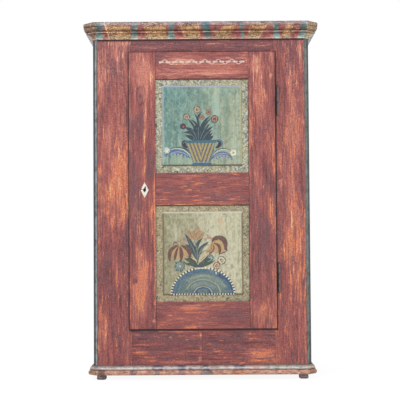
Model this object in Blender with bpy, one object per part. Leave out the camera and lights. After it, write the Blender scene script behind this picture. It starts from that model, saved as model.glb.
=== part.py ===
"""A one-door painted farmhouse cupboard with canted front corners, 1.75 m tall.

The cupboard stands on four stub feet.  Its front faces -Y, +X is to the right of someone who looks at
the front, and +Z is up.  The origin is on the floor, under the middle of the whole depth.

The carcase parts in the middle: cornice, rails, base moulding, top board and bottom board are each made
of a left and a right half.  The door is a rebated frame with two raised and fielded panels.  It hangs on
two barrel hinges, whose upper knuckles lift off the pins of the lower ones, and closes with a box lock.

Plan positions are given as (reach, depth): reach runs inwards from the outer side of the body and depth
runs backwards from the front face of the body.
"""

import math

import bmesh
import bpy
from mathutils import Vector

# Body, in metres
HEIGHT = 1.750
BODY_WIDTH = 1.066
BODY_DEPTH = 0.498
BOARD = 0.024
CANT = 0.024
FIT = 0.0003
OVERRUN = 0.001

# Joint between the canted corner post and the boards beside it
TONGUE_LENGTH = 0.008
TONGUE_THICKNESS = 0.008
TONGUE_SETBACK = 0.012

# Feet, base moulding and cornice
FOOT_HEIGHT = 0.0245
FOOT_WIDTH = 0.046
FOOT_DEPTH = 0.060
FOOT_CENTRE_REACH = 0.0375
FOOT_FRONT_SETBACK = 0.012
FOOT_BACK_SETBACK = 0.016
FOOT_ROUNDING = 0.009
BASE_HEIGHT = 0.047
BASE_OUT = 0.0255
BASE_ROUND_RADIUS = 0.012
BASE_WAIST_OUT = 0.018
BASE_BEAD_IN = 0.004
BASE_FILLET = 0.002
CORNICE_HEIGHT = 0.080
CORNICE_OUT = 0.045
CORNICE_RISE = 0.012
CORNICE_FOOT_OUT = 0.006
CORNICE_FOOT_HEIGHT = 0.003
COVE_HEIGHT = 0.0215
BEAD_HEIGHT = 0.011
BEAD_OUT = 0.0045
BEAD_NECK = 0.004
OVOLO_HEIGHT = 0.021
OVOLO_OUT = 0.0125
GROOVE_HEIGHT = 0.003
GROOVE_IN = 0.003
TOP_MEMBER_OUT = 0.0015
TOP_MEMBER_EASING = 0.001
NOSE_RADIUS = 0.0075

# Boards inside the carcase
FLOOR_LEVEL = 0.050
TOP_BOARD_DROP = 0.012
HOUSING_DEPTH = 0.008
HOUSING_START = 0.040
BACK_THICKNESS = 0.014
BACK_REBATE = 0.012
BACK_BOARDS = 4
BACK_LAP = 0.012
SHELVES = 3
SHELF_THICKNESS = 0.020
SHELF_SETBACK = 0.050
SHELF_NOSE = 0.004
CLEAT_WIDTH = 0.020
CLEAT_HEIGHT = 0.030
CLEAT_SETBACK = 0.070
CLEAT_CHAMFER = 0.012

# Front frame
FRAME_TENON_LENGTH = 0.040
FRAME_TENON_THICKNESS = 0.009
FRAME_TENON_INSET = 0.028
TENON_ROOT = 0.005
HALVES_TONGUE = 0.008

# Door
DOOR_WIDTH = 0.717
DOOR_TOP_DROP = 0.146
DOOR_BOTTOM = 0.248
DOOR_SHIFT = 0.005
DOOR_THICKNESS = 0.030
DOOR_PROUD = 0.012
DOOR_LIP = 0.008
DOOR_PLAY = 0.002
DOOR_EDGE_RADIUS = 0.003
DOOR_STILE = 0.129
DOOR_TOP_RAIL = 0.131
DOOR_BOTTOM_RAIL = 0.131
LOCK_RAIL = 0.157
LOWER_PANEL_OPENING = 0.4735
DOOR_TENON_LENGTH = 0.070
DOOR_TENON_THICKNESS = 0.009
DOOR_TENON_INSET = 0.016
LOCK_TENON_HEIGHT = 0.045

# Panels in the door
GROOVE_DEPTH = 0.009
GROOVE_WIDTH = 0.007
GROOVE_SETBACK = 0.0115
PANEL_PLAY = 0.0006
PANEL_MARGIN = 0.033
MARGIN_RISE = 0.002
FIELD_RISE = 0.004
FIELD_SLOPE = 0.002

# Barrel hinges
UPPER_HINGE_DROP = 0.241
LOWER_HINGE_RISE = 0.246
HINGE_LENGTH = 0.156
KNUCKLE_RADIUS = 0.0075
KNUCKLE_SIDES = 16
FINIAL_LENGTH = 0.016
FINIAL_TAPER = ((1.0, 1.0), (0.86, 0.62), (0.62, 0.25))
PIN_RADIUS = 0.0035
PIN_LENGTH = 0.050
PIN_POINT = 0.002
PIN_CLEARANCE = 0.0003
BORE_POINT = 0.001
HINGE_OFF_EDGE = 0.013
HINGE_OFF_FACE = 0.0085
LEAF_THICKNESS = 0.0025
LEAF_HEIGHT = 0.052
LEAF_GAP = 0.008
DOOR_LEAF_REACH = 0.040
DOOR_LEAF_OFFSET = 0.0038
DOOR_LEAF_ROOT = 0.0045
FRAME_LEAF_REACH = 0.018
FRAME_LEAF_ROOT = 0.003

# Lock, key hole and keeper
KEY_INSET = 0.0755
KEY_RISE = 0.0735
KEYHOLE_RADIUS = 0.0048
KEYHOLE_SLOT_WIDTH = 0.0045
KEYHOLE_SLOT_RISE = 0.014
ESCUTCHEON_WIDTH = 0.040
ESCUTCHEON_HEIGHT = 0.078
ESCUTCHEON_THICKNESS = 0.0015
CASE_LEFT = 0.060
CASE_RIGHT = 0.040
CASE_BELOW = 0.034
CASE_ABOVE = 0.046
CASE_DEPTH = 0.018
CASE_WALL = 0.002
CASE_FLANGE = 0.007
DRILL_PIN_RADIUS = 0.002
BOLT_THICKNESS = 0.006
BOLT_HEIGHT = 0.016
BOLT_ABOVE_KEY = 0.012
BOLT_OVERHANG = 0.005
BOLT_TAIL = 0.028
BOLT_NOTCH = 0.005
BOLT_THROW = 0.016
STUD_RADIUS = 0.0025
SPRING_THICKNESS = 0.0012
SPRING_WIDTH = 0.004
SPRING_SAG = 0.30
SPRING_STEPS = 8
KEEPER_WIDTH = 0.012
KEEPER_THICKNESS = 0.0025
KEEPER_CLEARANCE = 0.002
KEEPER_FOOT = 0.015
KEEPER_SETBACK = 0.0045

# Places worked out from the sizes above
HALF = BODY_WIDTH / 2
FRONT = (CORNICE_OUT - BODY_DEPTH) / 2
CARCASE_BOTTOM = FOOT_HEIGHT + FIT
CARCASE_TOP = HEIGHT - CORNICE_RISE
BACK_FACE = BODY_DEPTH - BACK_THICKNESS
FLOOR_TOP = FLOOR_LEVEL + BOARD
CEILING = CARCASE_TOP - TOP_BOARD_DROP - BOARD
DOOR_TOP = HEIGHT - DOOR_TOP_DROP
DOOR_FACE = -FIT - DOOR_PROUD
DOOR_BACK = DOOR_FACE + DOOR_THICKNESS
DOOR_REBATE = DOOR_LIP + DOOR_PLAY
LOCK_RAIL_BOTTOM = DOOR_BOTTOM + DOOR_BOTTOM_RAIL + LOWER_PANEL_OPENING
LOCK_RAIL_TOP = LOCK_RAIL_BOTTOM + LOCK_RAIL
TOP_RAIL_BOTTOM = DOOR_TOP - DOOR_TOP_RAIL
GROOVE_FRONT = DOOR_FACE + GROOVE_SETBACK
GROOVE_BACK = GROOVE_FRONT + GROOVE_WIDTH
HINGE_X = DOOR_SHIFT + DOOR_WIDTH / 2 + HINGE_OFF_EDGE
HINGE_DEPTH = -HINGE_OFF_FACE
HINGE_HEIGHTS = {"upper": DOOR_TOP - UPPER_HINGE_DROP, "lower": DOOR_BOTTOM + LOWER_HINGE_RISE}
KEY_X = DOOR_SHIFT - DOOR_WIDTH / 2 + KEY_INSET
KEY_Z = LOCK_RAIL_BOTTOM + KEY_RISE
CASE_FRONT = DOOR_BACK + FIT
CASE_INNER_BACK = CASE_FRONT + CASE_DEPTH - CASE_WALL
BOLT_BACK = CASE_INNER_BACK - FIT
BOLT_FRONT = BOLT_BACK - BOLT_THICKNESS
BOLT_BOTTOM = KEY_Z + BOLT_ABOVE_KEY
BOLT_TOP = BOLT_BOTTOM + BOLT_HEIGHT
BOLT_END = KEY_X - CASE_LEFT - BOLT_OVERHANG

# Kinds of timber and metal, each with its colour, roughness and metallic value
FINISHES = {
    "red_paint": ((0.29, 0.10, 0.075), 0.62, 0.0),
    "green_paint": ((0.13, 0.19, 0.19), 0.58, 0.0),
    "cornice_paint": ((0.45, 0.27, 0.12), 0.60, 0.0),
    "base_paint": ((0.36, 0.27, 0.24), 0.62, 0.0),
    "teal_panel_paint": ((0.23, 0.36, 0.32), 0.55, 0.0),
    "cream_panel_paint": ((0.48, 0.46, 0.32), 0.55, 0.0),
    "bare_pine": ((0.42, 0.27, 0.15), 0.72, 0.0),
    "dark_foot_paint": ((0.12, 0.055, 0.06), 0.55, 0.0),
    "iron": ((0.06, 0.06, 0.065), 0.45, 0.9),
    "white_plate": ((0.80, 0.77, 0.70), 0.40, 0.0),
}


def clear_scene():
    """Removes whatever the scene starts with."""
    for obj in list(bpy.data.objects):
        bpy.data.objects.remove(obj, do_unlink=True)


def make_material(name):
    """A Principled material with the finish of that name."""
    colour, roughness, metallic = FINISHES[name]
    material = bpy.data.materials.new(name)
    material.use_nodes = True
    shader = material.node_tree.nodes["Principled BSDF"]
    shader.inputs["Base Color"].default_value = (*colour, 1.0)
    shader.inputs["Roughness"].default_value = roughness
    shader.inputs["Metallic"].default_value = metallic
    return material


def side_name(side):
    """left for -1 and right for +1."""
    return "left" if side < 0 else "right"


def opening_x(side):
    """Where the door opening's edge is, on one side."""
    return DOOR_SHIFT + side * (DOOR_WIDTH / 2 - DOOR_LIP)


def y_at(depth):
    """World Y of a depth behind the body's front face."""
    return FRONT + depth


def plan(points, side):
    """World (x, y) of (reach, depth) points on one side of the body."""
    return [(side * (HALF - reach), y_at(depth)) for reach, depth in points]


def arc(centre, radii, start, end, steps):
    """Points of an elliptical arc, with its angles in degrees."""
    points = []
    for step in range(steps + 1):
        angle = math.radians(start + (end - start) * step / steps)
        points.append((centre[0] + radii[0] * math.cos(angle), centre[1] + radii[1] * math.sin(angle)))
    return points


def prism(outline, axis, low, high):
    """A closed bmesh: an outline carried along an axis.

    The outline is (x, y) points for axis Z, (x, z) points for axis Y, and (y, z) points for axis X.
    """
    bm = bmesh.new()
    rings = []
    for along in (low, high):
        ring = []
        for a, b in outline:
            place = {"X": (along, a, b), "Y": (a, along, b), "Z": (a, b, along)}[axis]
            ring.append(bm.verts.new(place))
        rings.append(ring)
    bm.faces.new(rings[0])
    bm.faces.new(list(reversed(rings[1])))
    count = len(outline)
    for i in range(count):
        j = (i + 1) % count
        bm.faces.new((rings[0][i], rings[1][i], rings[1][j], rings[0][j]))
    bmesh.ops.recalc_face_normals(bm, faces=bm.faces)
    return bm


def box(low, high):
    """A closed bmesh box between two corners, in any order."""
    xs, ys, zs = (sorted(pair) for pair in zip(low, high))
    outline = [(xs[0], ys[0]), (xs[1], ys[0]), (xs[1], ys[1]), (xs[0], ys[1])]
    return prism(outline, "Z", zs[0], zs[1])


def depth_box(xs, depths, zs):
    """A box from its ranges of x, of depth behind the front face, and of z."""
    return box((xs[0], y_at(depths[0]), zs[0]), (xs[1], y_at(depths[1]), zs[1]))


def turned(profile, centre, sides):
    """A closed bmesh turned about an upright axis.

    A profile point with radius 0 is a pole, and a profile that ends where it starts is a closed loop.
    """
    bm = bmesh.new()
    rings = []
    for radius, z in profile:
        if rings and (radius, z) == profile[0]:
            rings.append(rings[0])
            continue
        if radius == 0:
            rings.append([bm.verts.new((centre[0], centre[1], z))])
            continue
        ring = []
        for i in range(sides):
            angle = 2 * math.pi * i / sides
            x = centre[0] + radius * math.cos(angle)
            y = centre[1] + radius * math.sin(angle)
            ring.append(bm.verts.new((x, y, z)))
        rings.append(ring)
    for a, b in zip(rings, rings[1:]):
        if len(a) == len(b) == 1:
            continue
        for i in range(sides):
            j = (i + 1) % sides
            if len(a) == 1:
                bm.faces.new((a[0], b[i], b[j]))
            elif len(b) == 1:
                bm.faces.new((a[i], a[j], b[0]))
            else:
                bm.faces.new((a[i], a[j], b[j], b[i]))
    bmesh.ops.recalc_face_normals(bm, faces=bm.faces)
    return bm


def peg(centre_x, centre_z, radius, depths, sides=12):
    """A round peg that runs front to back."""
    outline = arc((centre_x, centre_z), (radius, radius), 0, 360 * (sides - 1) / sides, sides - 1)
    return prism(outline, "Y", y_at(depths[0]), y_at(depths[1]))


def add_mesh(name, bm, origin):
    """Links a bmesh, given in world coordinates, as an object whose origin is at the given point."""
    bmesh.ops.translate(bm, verts=bm.verts, vec=-Vector(origin))
    mesh = bpy.data.meshes.new(name)
    bm.to_mesh(mesh)
    bm.free()
    obj = bpy.data.objects.new(name, mesh)
    bpy.context.scene.collection.objects.link(obj)
    obj.location = origin
    return obj


class Assembly:
    """A group of pieces that hang from one empty."""

    def __init__(self, name, place, parent=None):
        self.place = Vector(place)
        self.empty = bpy.data.objects.new(name, None)
        bpy.context.scene.collection.objects.link(self.empty)
        self.empty.location = self.place
        if parent:
            self.empty.parent = parent.empty
            self.empty.location = self.place - parent.place

    def add(self, name, bm, material, fused=(), cuts=(), inserted=()):
        """Adds one piece: solids are fused to it, others cut from that, and the last inserted in the cuts."""
        xs, ys, zs = zip(*(v.co for v in bm.verts))
        centre = Vector(((min(xs) + max(xs)) / 2, (min(ys) + max(ys)) / 2, (min(zs) + max(zs)) / 2))
        obj = add_mesh(name, bm, centre)
        obj.data.materials.append(material)
        self.hang(obj, centre)
        steps = (("fused", "UNION", fused), ("cut", "DIFFERENCE", cuts), ("inserted", "UNION", inserted))
        for label, operation, solids in steps:
            for number, solid in enumerate(solids):
                tool = add_mesh(f"{name}_{label}_{number}", solid, centre)
                tool.hide_render = True
                tool.display_type = "WIRE"
                self.hang(tool, centre)
                modifier = obj.modifiers.new(f"{label}_{number}", "BOOLEAN")
                modifier.operation = operation
                modifier.object = tool

    def hang(self, obj, centre):
        """Parents an object to the assembly's empty, and leaves it where it is."""
        obj.parent = self.empty
        obj.location = centre - self.place


def cornice_profile():
    """The cornice's section as (out, up) points: cove, bead, ovolo and a rounded top member."""
    ovolo_tip = CORNICE_OUT - TOP_MEMBER_OUT
    ovolo_start = ovolo_tip - OVOLO_OUT
    cove_tip = ovolo_start - BEAD_OUT / 2 - BEAD_NECK
    bead_bottom = CORNICE_FOOT_HEIGHT + COVE_HEIGHT
    bead_middle = bead_bottom + BEAD_HEIGHT / 2
    ovolo_top = bead_bottom + BEAD_HEIGHT + OVOLO_HEIGHT
    groove_top = ovolo_top + GROOVE_HEIGHT
    groove_root = ovolo_tip - GROOVE_IN
    r = NOSE_RADIUS
    foot = [(FIT, 0.0), (CORNICE_FOOT_OUT, 0.0)]
    cove = arc((cove_tip, CORNICE_FOOT_HEIGHT), (cove_tip - CORNICE_FOOT_OUT, COVE_HEIGHT), 180, 90, 7)
    bead = arc((cove_tip + BEAD_NECK, bead_middle), (BEAD_OUT, BEAD_HEIGHT / 2), -75, 75, 5)
    ovolo = arc((ovolo_start, ovolo_top), (OVOLO_OUT, OVOLO_HEIGHT), -90, 0, 6)
    groove = [(groove_root, ovolo_top), (groove_root, groove_top)]
    easing = [(CORNICE_OUT - TOP_MEMBER_EASING, groove_top)]
    easing.append((CORNICE_OUT, groove_top + 2 * TOP_MEMBER_EASING))
    nose = arc((CORNICE_OUT - r, CORNICE_HEIGHT - r), (r, r), 0, 90, 4)
    return [*foot, *cove, *bead, *ovolo, *groove, *easing, *nose, (FIT, CORNICE_HEIGHT)]


def base_profile():
    """The base moulding's section as (out, up) points: a round below and a hollowed bead above."""
    r = BASE_ROUND_RADIUS
    waist = 2 * r + BASE_FILLET
    bead_radii = (BASE_WAIST_OUT - BASE_BEAD_IN, BASE_HEIGHT - BASE_FILLET - waist)
    round_below = arc((BASE_OUT - r, r), (r, r), -90, 75, 8)
    neck = [(BASE_OUT - r + BASE_FILLET / 2, waist - BASE_FILLET / 2), (BASE_WAIST_OUT, waist)]
    bead = arc((BASE_BEAD_IN, waist), bead_radii, 8, 90, 6)
    return [(FIT, 0.0), *round_below, *neck, *bead, (BASE_BEAD_IN, BASE_HEIGHT), (FIT, BASE_HEIGHT)]


def moulding_runs(profile, bottom):
    """Name and bmesh of each mitred length of a moulding that goes round front, corners and sides.

    The body turns by 45 degrees at each end of the cant, so a mitre lies 22.5 degrees off square.
    """
    middle_gap = FIT / 2
    mitre_gap = FIT / 2 / math.cos(math.radians(22.5))
    gaps = ((middle_gap, mitre_gap), (mitre_gap, mitre_gap), (mitre_gap, 0.0))
    for side in (-1, 1):
        corners = [
            Vector((0.0, FRONT)),
            Vector((side * (HALF - CANT), FRONT)),
            Vector((side * HALF, FRONT + CANT)),
            Vector((side * HALF, FRONT + BODY_DEPTH)),
        ]
        normals = []
        for a, b in zip(corners, corners[1:]):
            along = (b - a).normalized()
            normals.append(Vector((side * along.y, -side * along.x)))
        mitres = [normals[0]]
        for a, b in zip(normals, normals[1:]):
            mitres.append((a + b) / (1 + a.dot(b)))
        mitres.append(normals[-1])
        for i, kind in enumerate(("front", "corner", "return")):
            along = (corners[i + 1] - corners[i]).normalized()
            start = corners[i] + along * gaps[i][0]
            end = corners[i + 1] - along * gaps[i][1]
            bm = bmesh.new()
            rings = []
            for point, mitre in ((start, mitres[i]), (end, mitres[i + 1])):
                ring = []
                for out, up in profile:
                    place = point + mitre * out
                    ring.append(bm.verts.new((place.x, place.y, bottom + up)))
                rings.append(ring)
            bm.faces.new(rings[0])
            bm.faces.new(list(reversed(rings[1])))
            count = len(profile)
            for a in range(count):
                b = (a + 1) % count
                bm.faces.new((rings[0][a], rings[1][a], rings[1][b], rings[0][b]))
            bmesh.ops.recalc_face_normals(bm, faces=bm.faces)
            yield f"{kind}_{side_name(side)}", bm


def make_corner_posts(carcase, paint):
    """The canted strips, with a tongue into the front stile and another into the side board."""
    near = TONGUE_SETBACK
    far = TONGUE_SETBACK + TONGUE_THICKNESS
    tip = CANT + TONGUE_LENGTH
    outline = [
        (0.0, CANT),
        (CANT, 0.0),
        (CANT, near),
        (tip, near),
        (tip, far),
        (CANT, far),
        (CANT, CANT),
        (far, CANT),
        (far, tip),
        (near, tip),
        (near, CANT),
    ]
    for side in (-1, 1):
        bm = prism(plan(outline, side), "Z", CARCASE_BOTTOM, CARCASE_TOP)
        carcase.add(f"corner_post_{side_name(side)}", bm, paint)


def make_side_panels(carcase, paint):
    """The sides: grooved for the post, rebated for the back, and housed for floor and ceiling boards."""
    near = TONGUE_SETBACK - FIT
    far = TONGUE_SETBACK + TONGUE_THICKNESS + FIT
    front = CANT + FIT
    root = CANT + TONGUE_LENGTH + FIT
    outline = [
        (0.0, front),
        (near, front),
        (near, root),
        (far, root),
        (far, front),
        (BOARD, front),
        (BOARD, BACK_FACE - FIT),
        (BOARD - BACK_REBATE, BACK_FACE - FIT),
        (BOARD - BACK_REBATE, BODY_DEPTH),
        (0.0, BODY_DEPTH),
    ]
    for side in (-1, 1):
        bm = prism(plan(outline, side), "Z", CARCASE_BOTTOM, CARCASE_TOP)
        inner = side * (HALF - BOARD)
        xs = (inner + side * (HOUSING_DEPTH + FIT), inner - side * OVERRUN)
        housings = []
        for bottom in (FLOOR_LEVEL, CEILING):
            zs = (bottom - FIT, bottom + BOARD + FIT)
            housings.append(depth_box(xs, (HOUSING_START, BACK_FACE + OVERRUN), zs))
        carcase.add(f"side_panel_{side_name(side)}", bm, paint, cuts=housings)


def make_front_stiles(carcase, paint):
    """The upright boards beside the door, mortised for the rails; the right one holds the hinges."""
    near = TONGUE_SETBACK - FIT
    far = TONGUE_SETBACK + TONGUE_THICKNESS + FIT
    edge = CANT + FIT
    root = CANT + TONGUE_LENGTH + FIT
    for side in (-1, 1):
        inner = HALF - side * opening_x(side)
        outline = [
            (edge, 0.0),
            (edge, near),
            (root, near),
            (root, far),
            (edge, far),
            (edge, BOARD),
            (inner, BOARD),
            (inner, 0.0),
        ]
        bm = prism(plan(outline, side), "Z", CARCASE_BOTTOM, CARCASE_TOP)
        cuts = []
        for low, high in (frame_rail_heights("bottom"), frame_rail_heights("top")):
            xs = (opening_x(side) - side * OVERRUN, opening_x(side) + side * (FRAME_TENON_LENGTH + FIT))
            zs = (low + FRAME_TENON_INSET - FIT, high - FRAME_TENON_INSET + FIT)
            depths = centred(BOARD / 2, FRAME_TENON_THICKNESS + 2 * FIT)
            cuts.append(depth_box(xs, depths, zs))
        if side > 0:
            for middle in HINGE_HEIGHTS.values():
                cuts.append(frame_leaf(middle, FIT))
        carcase.add(f"front_stile_{side_name(side)}", bm, paint, cuts=cuts)


def centred(middle, width):
    """A range of the given width about a middle."""
    return middle - width / 2, middle + width / 2


def frame_rail_heights(which):
    """Bottom and top of the front frame's bottom rail or top rail."""
    if which == "bottom":
        return CARCASE_BOTTOM, DOOR_BOTTOM + DOOR_LIP
    return DOOR_TOP - DOOR_LIP, CARCASE_TOP


def make_front_rails(carcase, paint):
    """Top and bottom rails, each in two halves with a tongue and a groove where they meet."""
    tongue = centred(BOARD / 2, TONGUE_THICKNESS)
    groove = centred(BOARD / 2, TONGUE_THICKNESS + 2 * FIT)
    for which in ("top", "bottom"):
        low, high = frame_rail_heights(which)
        tenon_zs = (low + FRAME_TENON_INSET, high - FRAME_TENON_INSET)
        tenon_depths = centred(BOARD / 2, FRAME_TENON_THICKNESS)
        for side in (-1, 1):
            outer = opening_x(side) - side * FIT
            middle = side * FIT / 2
            if side < 0:
                step, reach = tongue, middle + HALVES_TONGUE
            else:
                step, reach = groove, middle + HALVES_TONGUE + FIT
            outline = [
                (outer, y_at(0.0)),
                (middle, y_at(0.0)),
                (middle, y_at(step[0])),
                (reach, y_at(step[0])),
                (reach, y_at(step[1])),
                (middle, y_at(step[1])),
                (middle, y_at(BOARD)),
                (outer, y_at(BOARD)),
            ]
            tenon_xs = (outer - side * TENON_ROOT, opening_x(side) + side * FRAME_TENON_LENGTH)
            tenon = depth_box(tenon_xs, tenon_depths, tenon_zs)
            bm = prism(outline, "Z", low, high)
            carcase.add(f"{which}_rail_{side_name(side)}", bm, paint, fused=[tenon])


def make_level_boards(carcase, timber):
    """The two halves of the floor board and of the ceiling board, housed in the side panels."""
    inner = HALF - BOARD
    for which, bottom in (("bottom", FLOOR_LEVEL), ("top", CEILING)):
        for side in (-1, 1):
            front = y_at(BOARD + FIT)
            step = y_at(HOUSING_START + FIT)
            back = y_at(BACK_FACE - FIT)
            outline = [
                (side * FIT / 2, front),
                (side * (inner - FIT), front),
                (side * (inner - FIT), step),
                (side * (inner + HOUSING_DEPTH), step),
                (side * (inner + HOUSING_DEPTH), back),
                (side * FIT / 2, back),
            ]
            bm = prism(outline, "Z", bottom, bottom + BOARD)
            carcase.add(f"{which}_board_{side_name(side)}", bm, timber)


def make_back(carcase, timber):
    """Upright back boards, lapped on each other and set into the rebates of the side panels."""
    reach = HALF - BOARD + BACK_REBATE - FIT
    width = 2 * reach / BACK_BOARDS
    middle = BACK_FACE + BACK_THICKNESS / 2
    for number in range(BACK_BOARDS):
        left = -reach + number * width
        right = left + width
        first = number == 0
        last = number == BACK_BOARDS - 1
        front_left = left if first else left + BACK_LAP / 2 + FIT / 2
        back_left = left if first else left - BACK_LAP / 2 + FIT / 2
        front_right = right if last else right + BACK_LAP / 2 - FIT / 2
        back_right = right if last else right - BACK_LAP / 2 - FIT / 2
        outline = [(front_left, y_at(BACK_FACE)), (front_right, y_at(BACK_FACE))]
        if not last:
            outline += [(front_right, y_at(middle - FIT / 2)), (back_right, y_at(middle - FIT / 2))]
        outline += [(back_right, y_at(BODY_DEPTH)), (back_left, y_at(BODY_DEPTH))]
        if not first:
            outline += [(back_left, y_at(middle + FIT / 2)), (front_left, y_at(middle + FIT / 2))]
        bm = prism(outline, "Z", CARCASE_BOTTOM, CARCASE_TOP)
        carcase.add(f"back_board_{number + 1}", bm, timber)


def make_shelves(carcase, timber):
    """Loose shelves on a cleat at each end, at an even pitch between floor and ceiling."""
    inner = HALF - BOARD - FIT
    pitch = (CEILING - FLOOR_TOP - SHELVES * SHELF_THICKNESS) / (SHELVES + 1)
    back = BACK_FACE - FIT
    for number in range(SHELVES):
        bottom = FLOOR_TOP + pitch + number * (pitch + SHELF_THICKNESS)
        top = bottom + SHELF_THICKNESS
        front = y_at(SHELF_SETBACK)
        nose = SHELF_NOSE
        outline = [
            (y_at(back), bottom),
            (y_at(back), top),
            *arc((front + nose, top - nose), (nose, nose), 90, 180, 3),
            *arc((front + nose, bottom + nose), (nose, nose), 180, 270, 3),
        ]
        carcase.add(f"shelf_{number + 1}", prism(outline, "X", -inner, inner), timber)
        cleat_top = bottom - FIT
        cleat_bottom = cleat_top - CLEAT_HEIGHT
        cleat_front = y_at(CLEAT_SETBACK)
        outline = [
            (y_at(back), cleat_bottom),
            (y_at(back), cleat_top),
            (cleat_front, cleat_top),
            (cleat_front, cleat_bottom + CLEAT_CHAMFER),
            (cleat_front + CLEAT_CHAMFER, cleat_bottom),
        ]
        for side in (-1, 1):
            bm = prism(outline, "X", side * inner, side * (inner - CLEAT_WIDTH))
            carcase.add(f"cleat_{number + 1}_{side_name(side)}", bm, timber)


def make_feet(carcase, paint):
    """Stub feet with rounded lower edges, notched round the boards that stand on them."""
    outer = HALF - FOOT_CENTRE_REACH + FOOT_WIDTH / 2
    inner = outer - FOOT_WIDTH
    shoulder = HALF - BOARD - FIT
    r = FOOT_ROUNDING
    ends = {
        "front": (FOOT_FRONT_SETBACK, FOOT_FRONT_SETBACK + FOOT_DEPTH),
        "back": (BODY_DEPTH - FOOT_BACK_SETBACK - FOOT_DEPTH, BODY_DEPTH - FOOT_BACK_SETBACK),
    }
    for end, depths in ends.items():
        for side in (-1, 1):
            outline = [
                *arc((side * (outer - r), r), (side * r, r), 0, -90, 4),
                *arc((side * (inner + r), r), (side * r, r), 270, 180, 4),
                (side * inner, FLOOR_LEVEL - FIT),
                (side * shoulder, FLOOR_LEVEL - FIT),
                (side * shoulder, FOOT_HEIGHT),
                (side * outer, FOOT_HEIGHT),
            ]
            bm = prism(outline, "Y", y_at(depths[0]), y_at(depths[1]))
            xs = (side * (inner - OVERRUN), side * (outer + OVERRUN))
            zs = (FOOT_HEIGHT, FLOOR_LEVEL + OVERRUN)
            cuts = []
            if end == "front" and depths[0] < BOARD + FIT:
                cuts.append(depth_box(xs, (depths[0] - OVERRUN, BOARD + FIT), zs))
            if end == "back" and depths[1] > BACK_FACE - FIT:
                cuts.append(depth_box(xs, (BACK_FACE - FIT, depths[1] + OVERRUN), zs))
            carcase.add(f"foot_{end}_{side_name(side)}", bm, paint, cuts=cuts)


def make_mouldings(carcase, cornice_paint, base_paint):
    """The cornice and the base moulding, mitred round the canted corners."""
    for name, bm in moulding_runs(cornice_profile(), HEIGHT - CORNICE_HEIGHT):
        carcase.add(f"cornice_{name}", bm, cornice_paint)
    for name, bm in moulding_runs(base_profile(), CARCASE_BOTTOM):
        carcase.add(f"base_{name}", bm, base_paint)


def door_rails():
    """Each door rail with its bottom, its top and the heights of its tenons."""
    inset = DOOR_TENON_INSET
    twin = LOCK_TENON_HEIGHT
    rails = {
        "door_bottom_rail": (DOOR_BOTTOM, DOOR_BOTTOM + DOOR_BOTTOM_RAIL),
        "door_lock_rail": (LOCK_RAIL_BOTTOM, LOCK_RAIL_TOP),
        "door_top_rail": (TOP_RAIL_BOTTOM, DOOR_TOP),
    }
    tenons = {}
    for name, (low, high) in rails.items():
        tenons[name] = [(low + inset, high - inset)]
    low, high = rails["door_lock_rail"]
    tenons["door_lock_rail"] = [(low + inset, low + inset + twin), (high - inset - twin, high - inset)]
    return {name: (*rails[name], tenons[name]) for name in rails}


def make_door_stiles(door, paint):
    """The door's upright boards: lipped outside, grooved inside and mortised for the rails."""
    r = DOOR_EDGE_RADIUS
    middle = (DOOR_FACE + DOOR_BACK) / 2
    for side in (-1, 1):
        edge = DOOR_SHIFT + side * DOOR_WIDTH / 2
        section = [
            *arc((r, DOOR_FACE + r), (r, r), -90, -180, 3),
            (0.0, -FIT),
            (DOOR_REBATE, -FIT),
            (DOOR_REBATE, DOOR_BACK),
            (DOOR_STILE, DOOR_BACK),
            (DOOR_STILE, GROOVE_BACK),
            (DOOR_STILE - GROOVE_DEPTH, GROOVE_BACK),
            (DOOR_STILE - GROOVE_DEPTH, GROOVE_FRONT),
            (DOOR_STILE, GROOVE_FRONT),
            (DOOR_STILE, DOOR_FACE),
        ]
        outline = [(edge - side * inward, y_at(depth)) for inward, depth in section]
        inner = edge - side * DOOR_STILE
        cuts = []
        across = (edge + side * OVERRUN, inner - side * OVERRUN)
        foot = (DOOR_BOTTOM - OVERRUN, DOOR_BOTTOM + DOOR_REBATE)
        head = (DOOR_TOP - DOOR_REBATE, DOOR_TOP + OVERRUN)
        for zs in (foot, head):
            cuts.append(depth_box(across, (-FIT, DOOR_BACK + OVERRUN), zs))
        for _, _, tenons in door_rails().values():
            for low, high in tenons:
                xs = (inner - side * OVERRUN, inner + side * (DOOR_TENON_LENGTH + FIT))
                depths = centred(middle, DOOR_TENON_THICKNESS + 2 * FIT)
                cuts.append(depth_box(xs, depths, (low - FIT, high + FIT)))
        if side < 0:
            name = "door_lock_stile"
            cuts.append(keyhole((DOOR_FACE - OVERRUN, DOOR_BACK + OVERRUN)))
        else:
            name = "door_hinge_stile"
            cuts += [door_leaf(height, FIT) for height in HINGE_HEIGHTS.values()]
        door.add(name, prism(outline, "Z", DOOR_BOTTOM, DOOR_TOP), paint, cuts=cuts)


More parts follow.
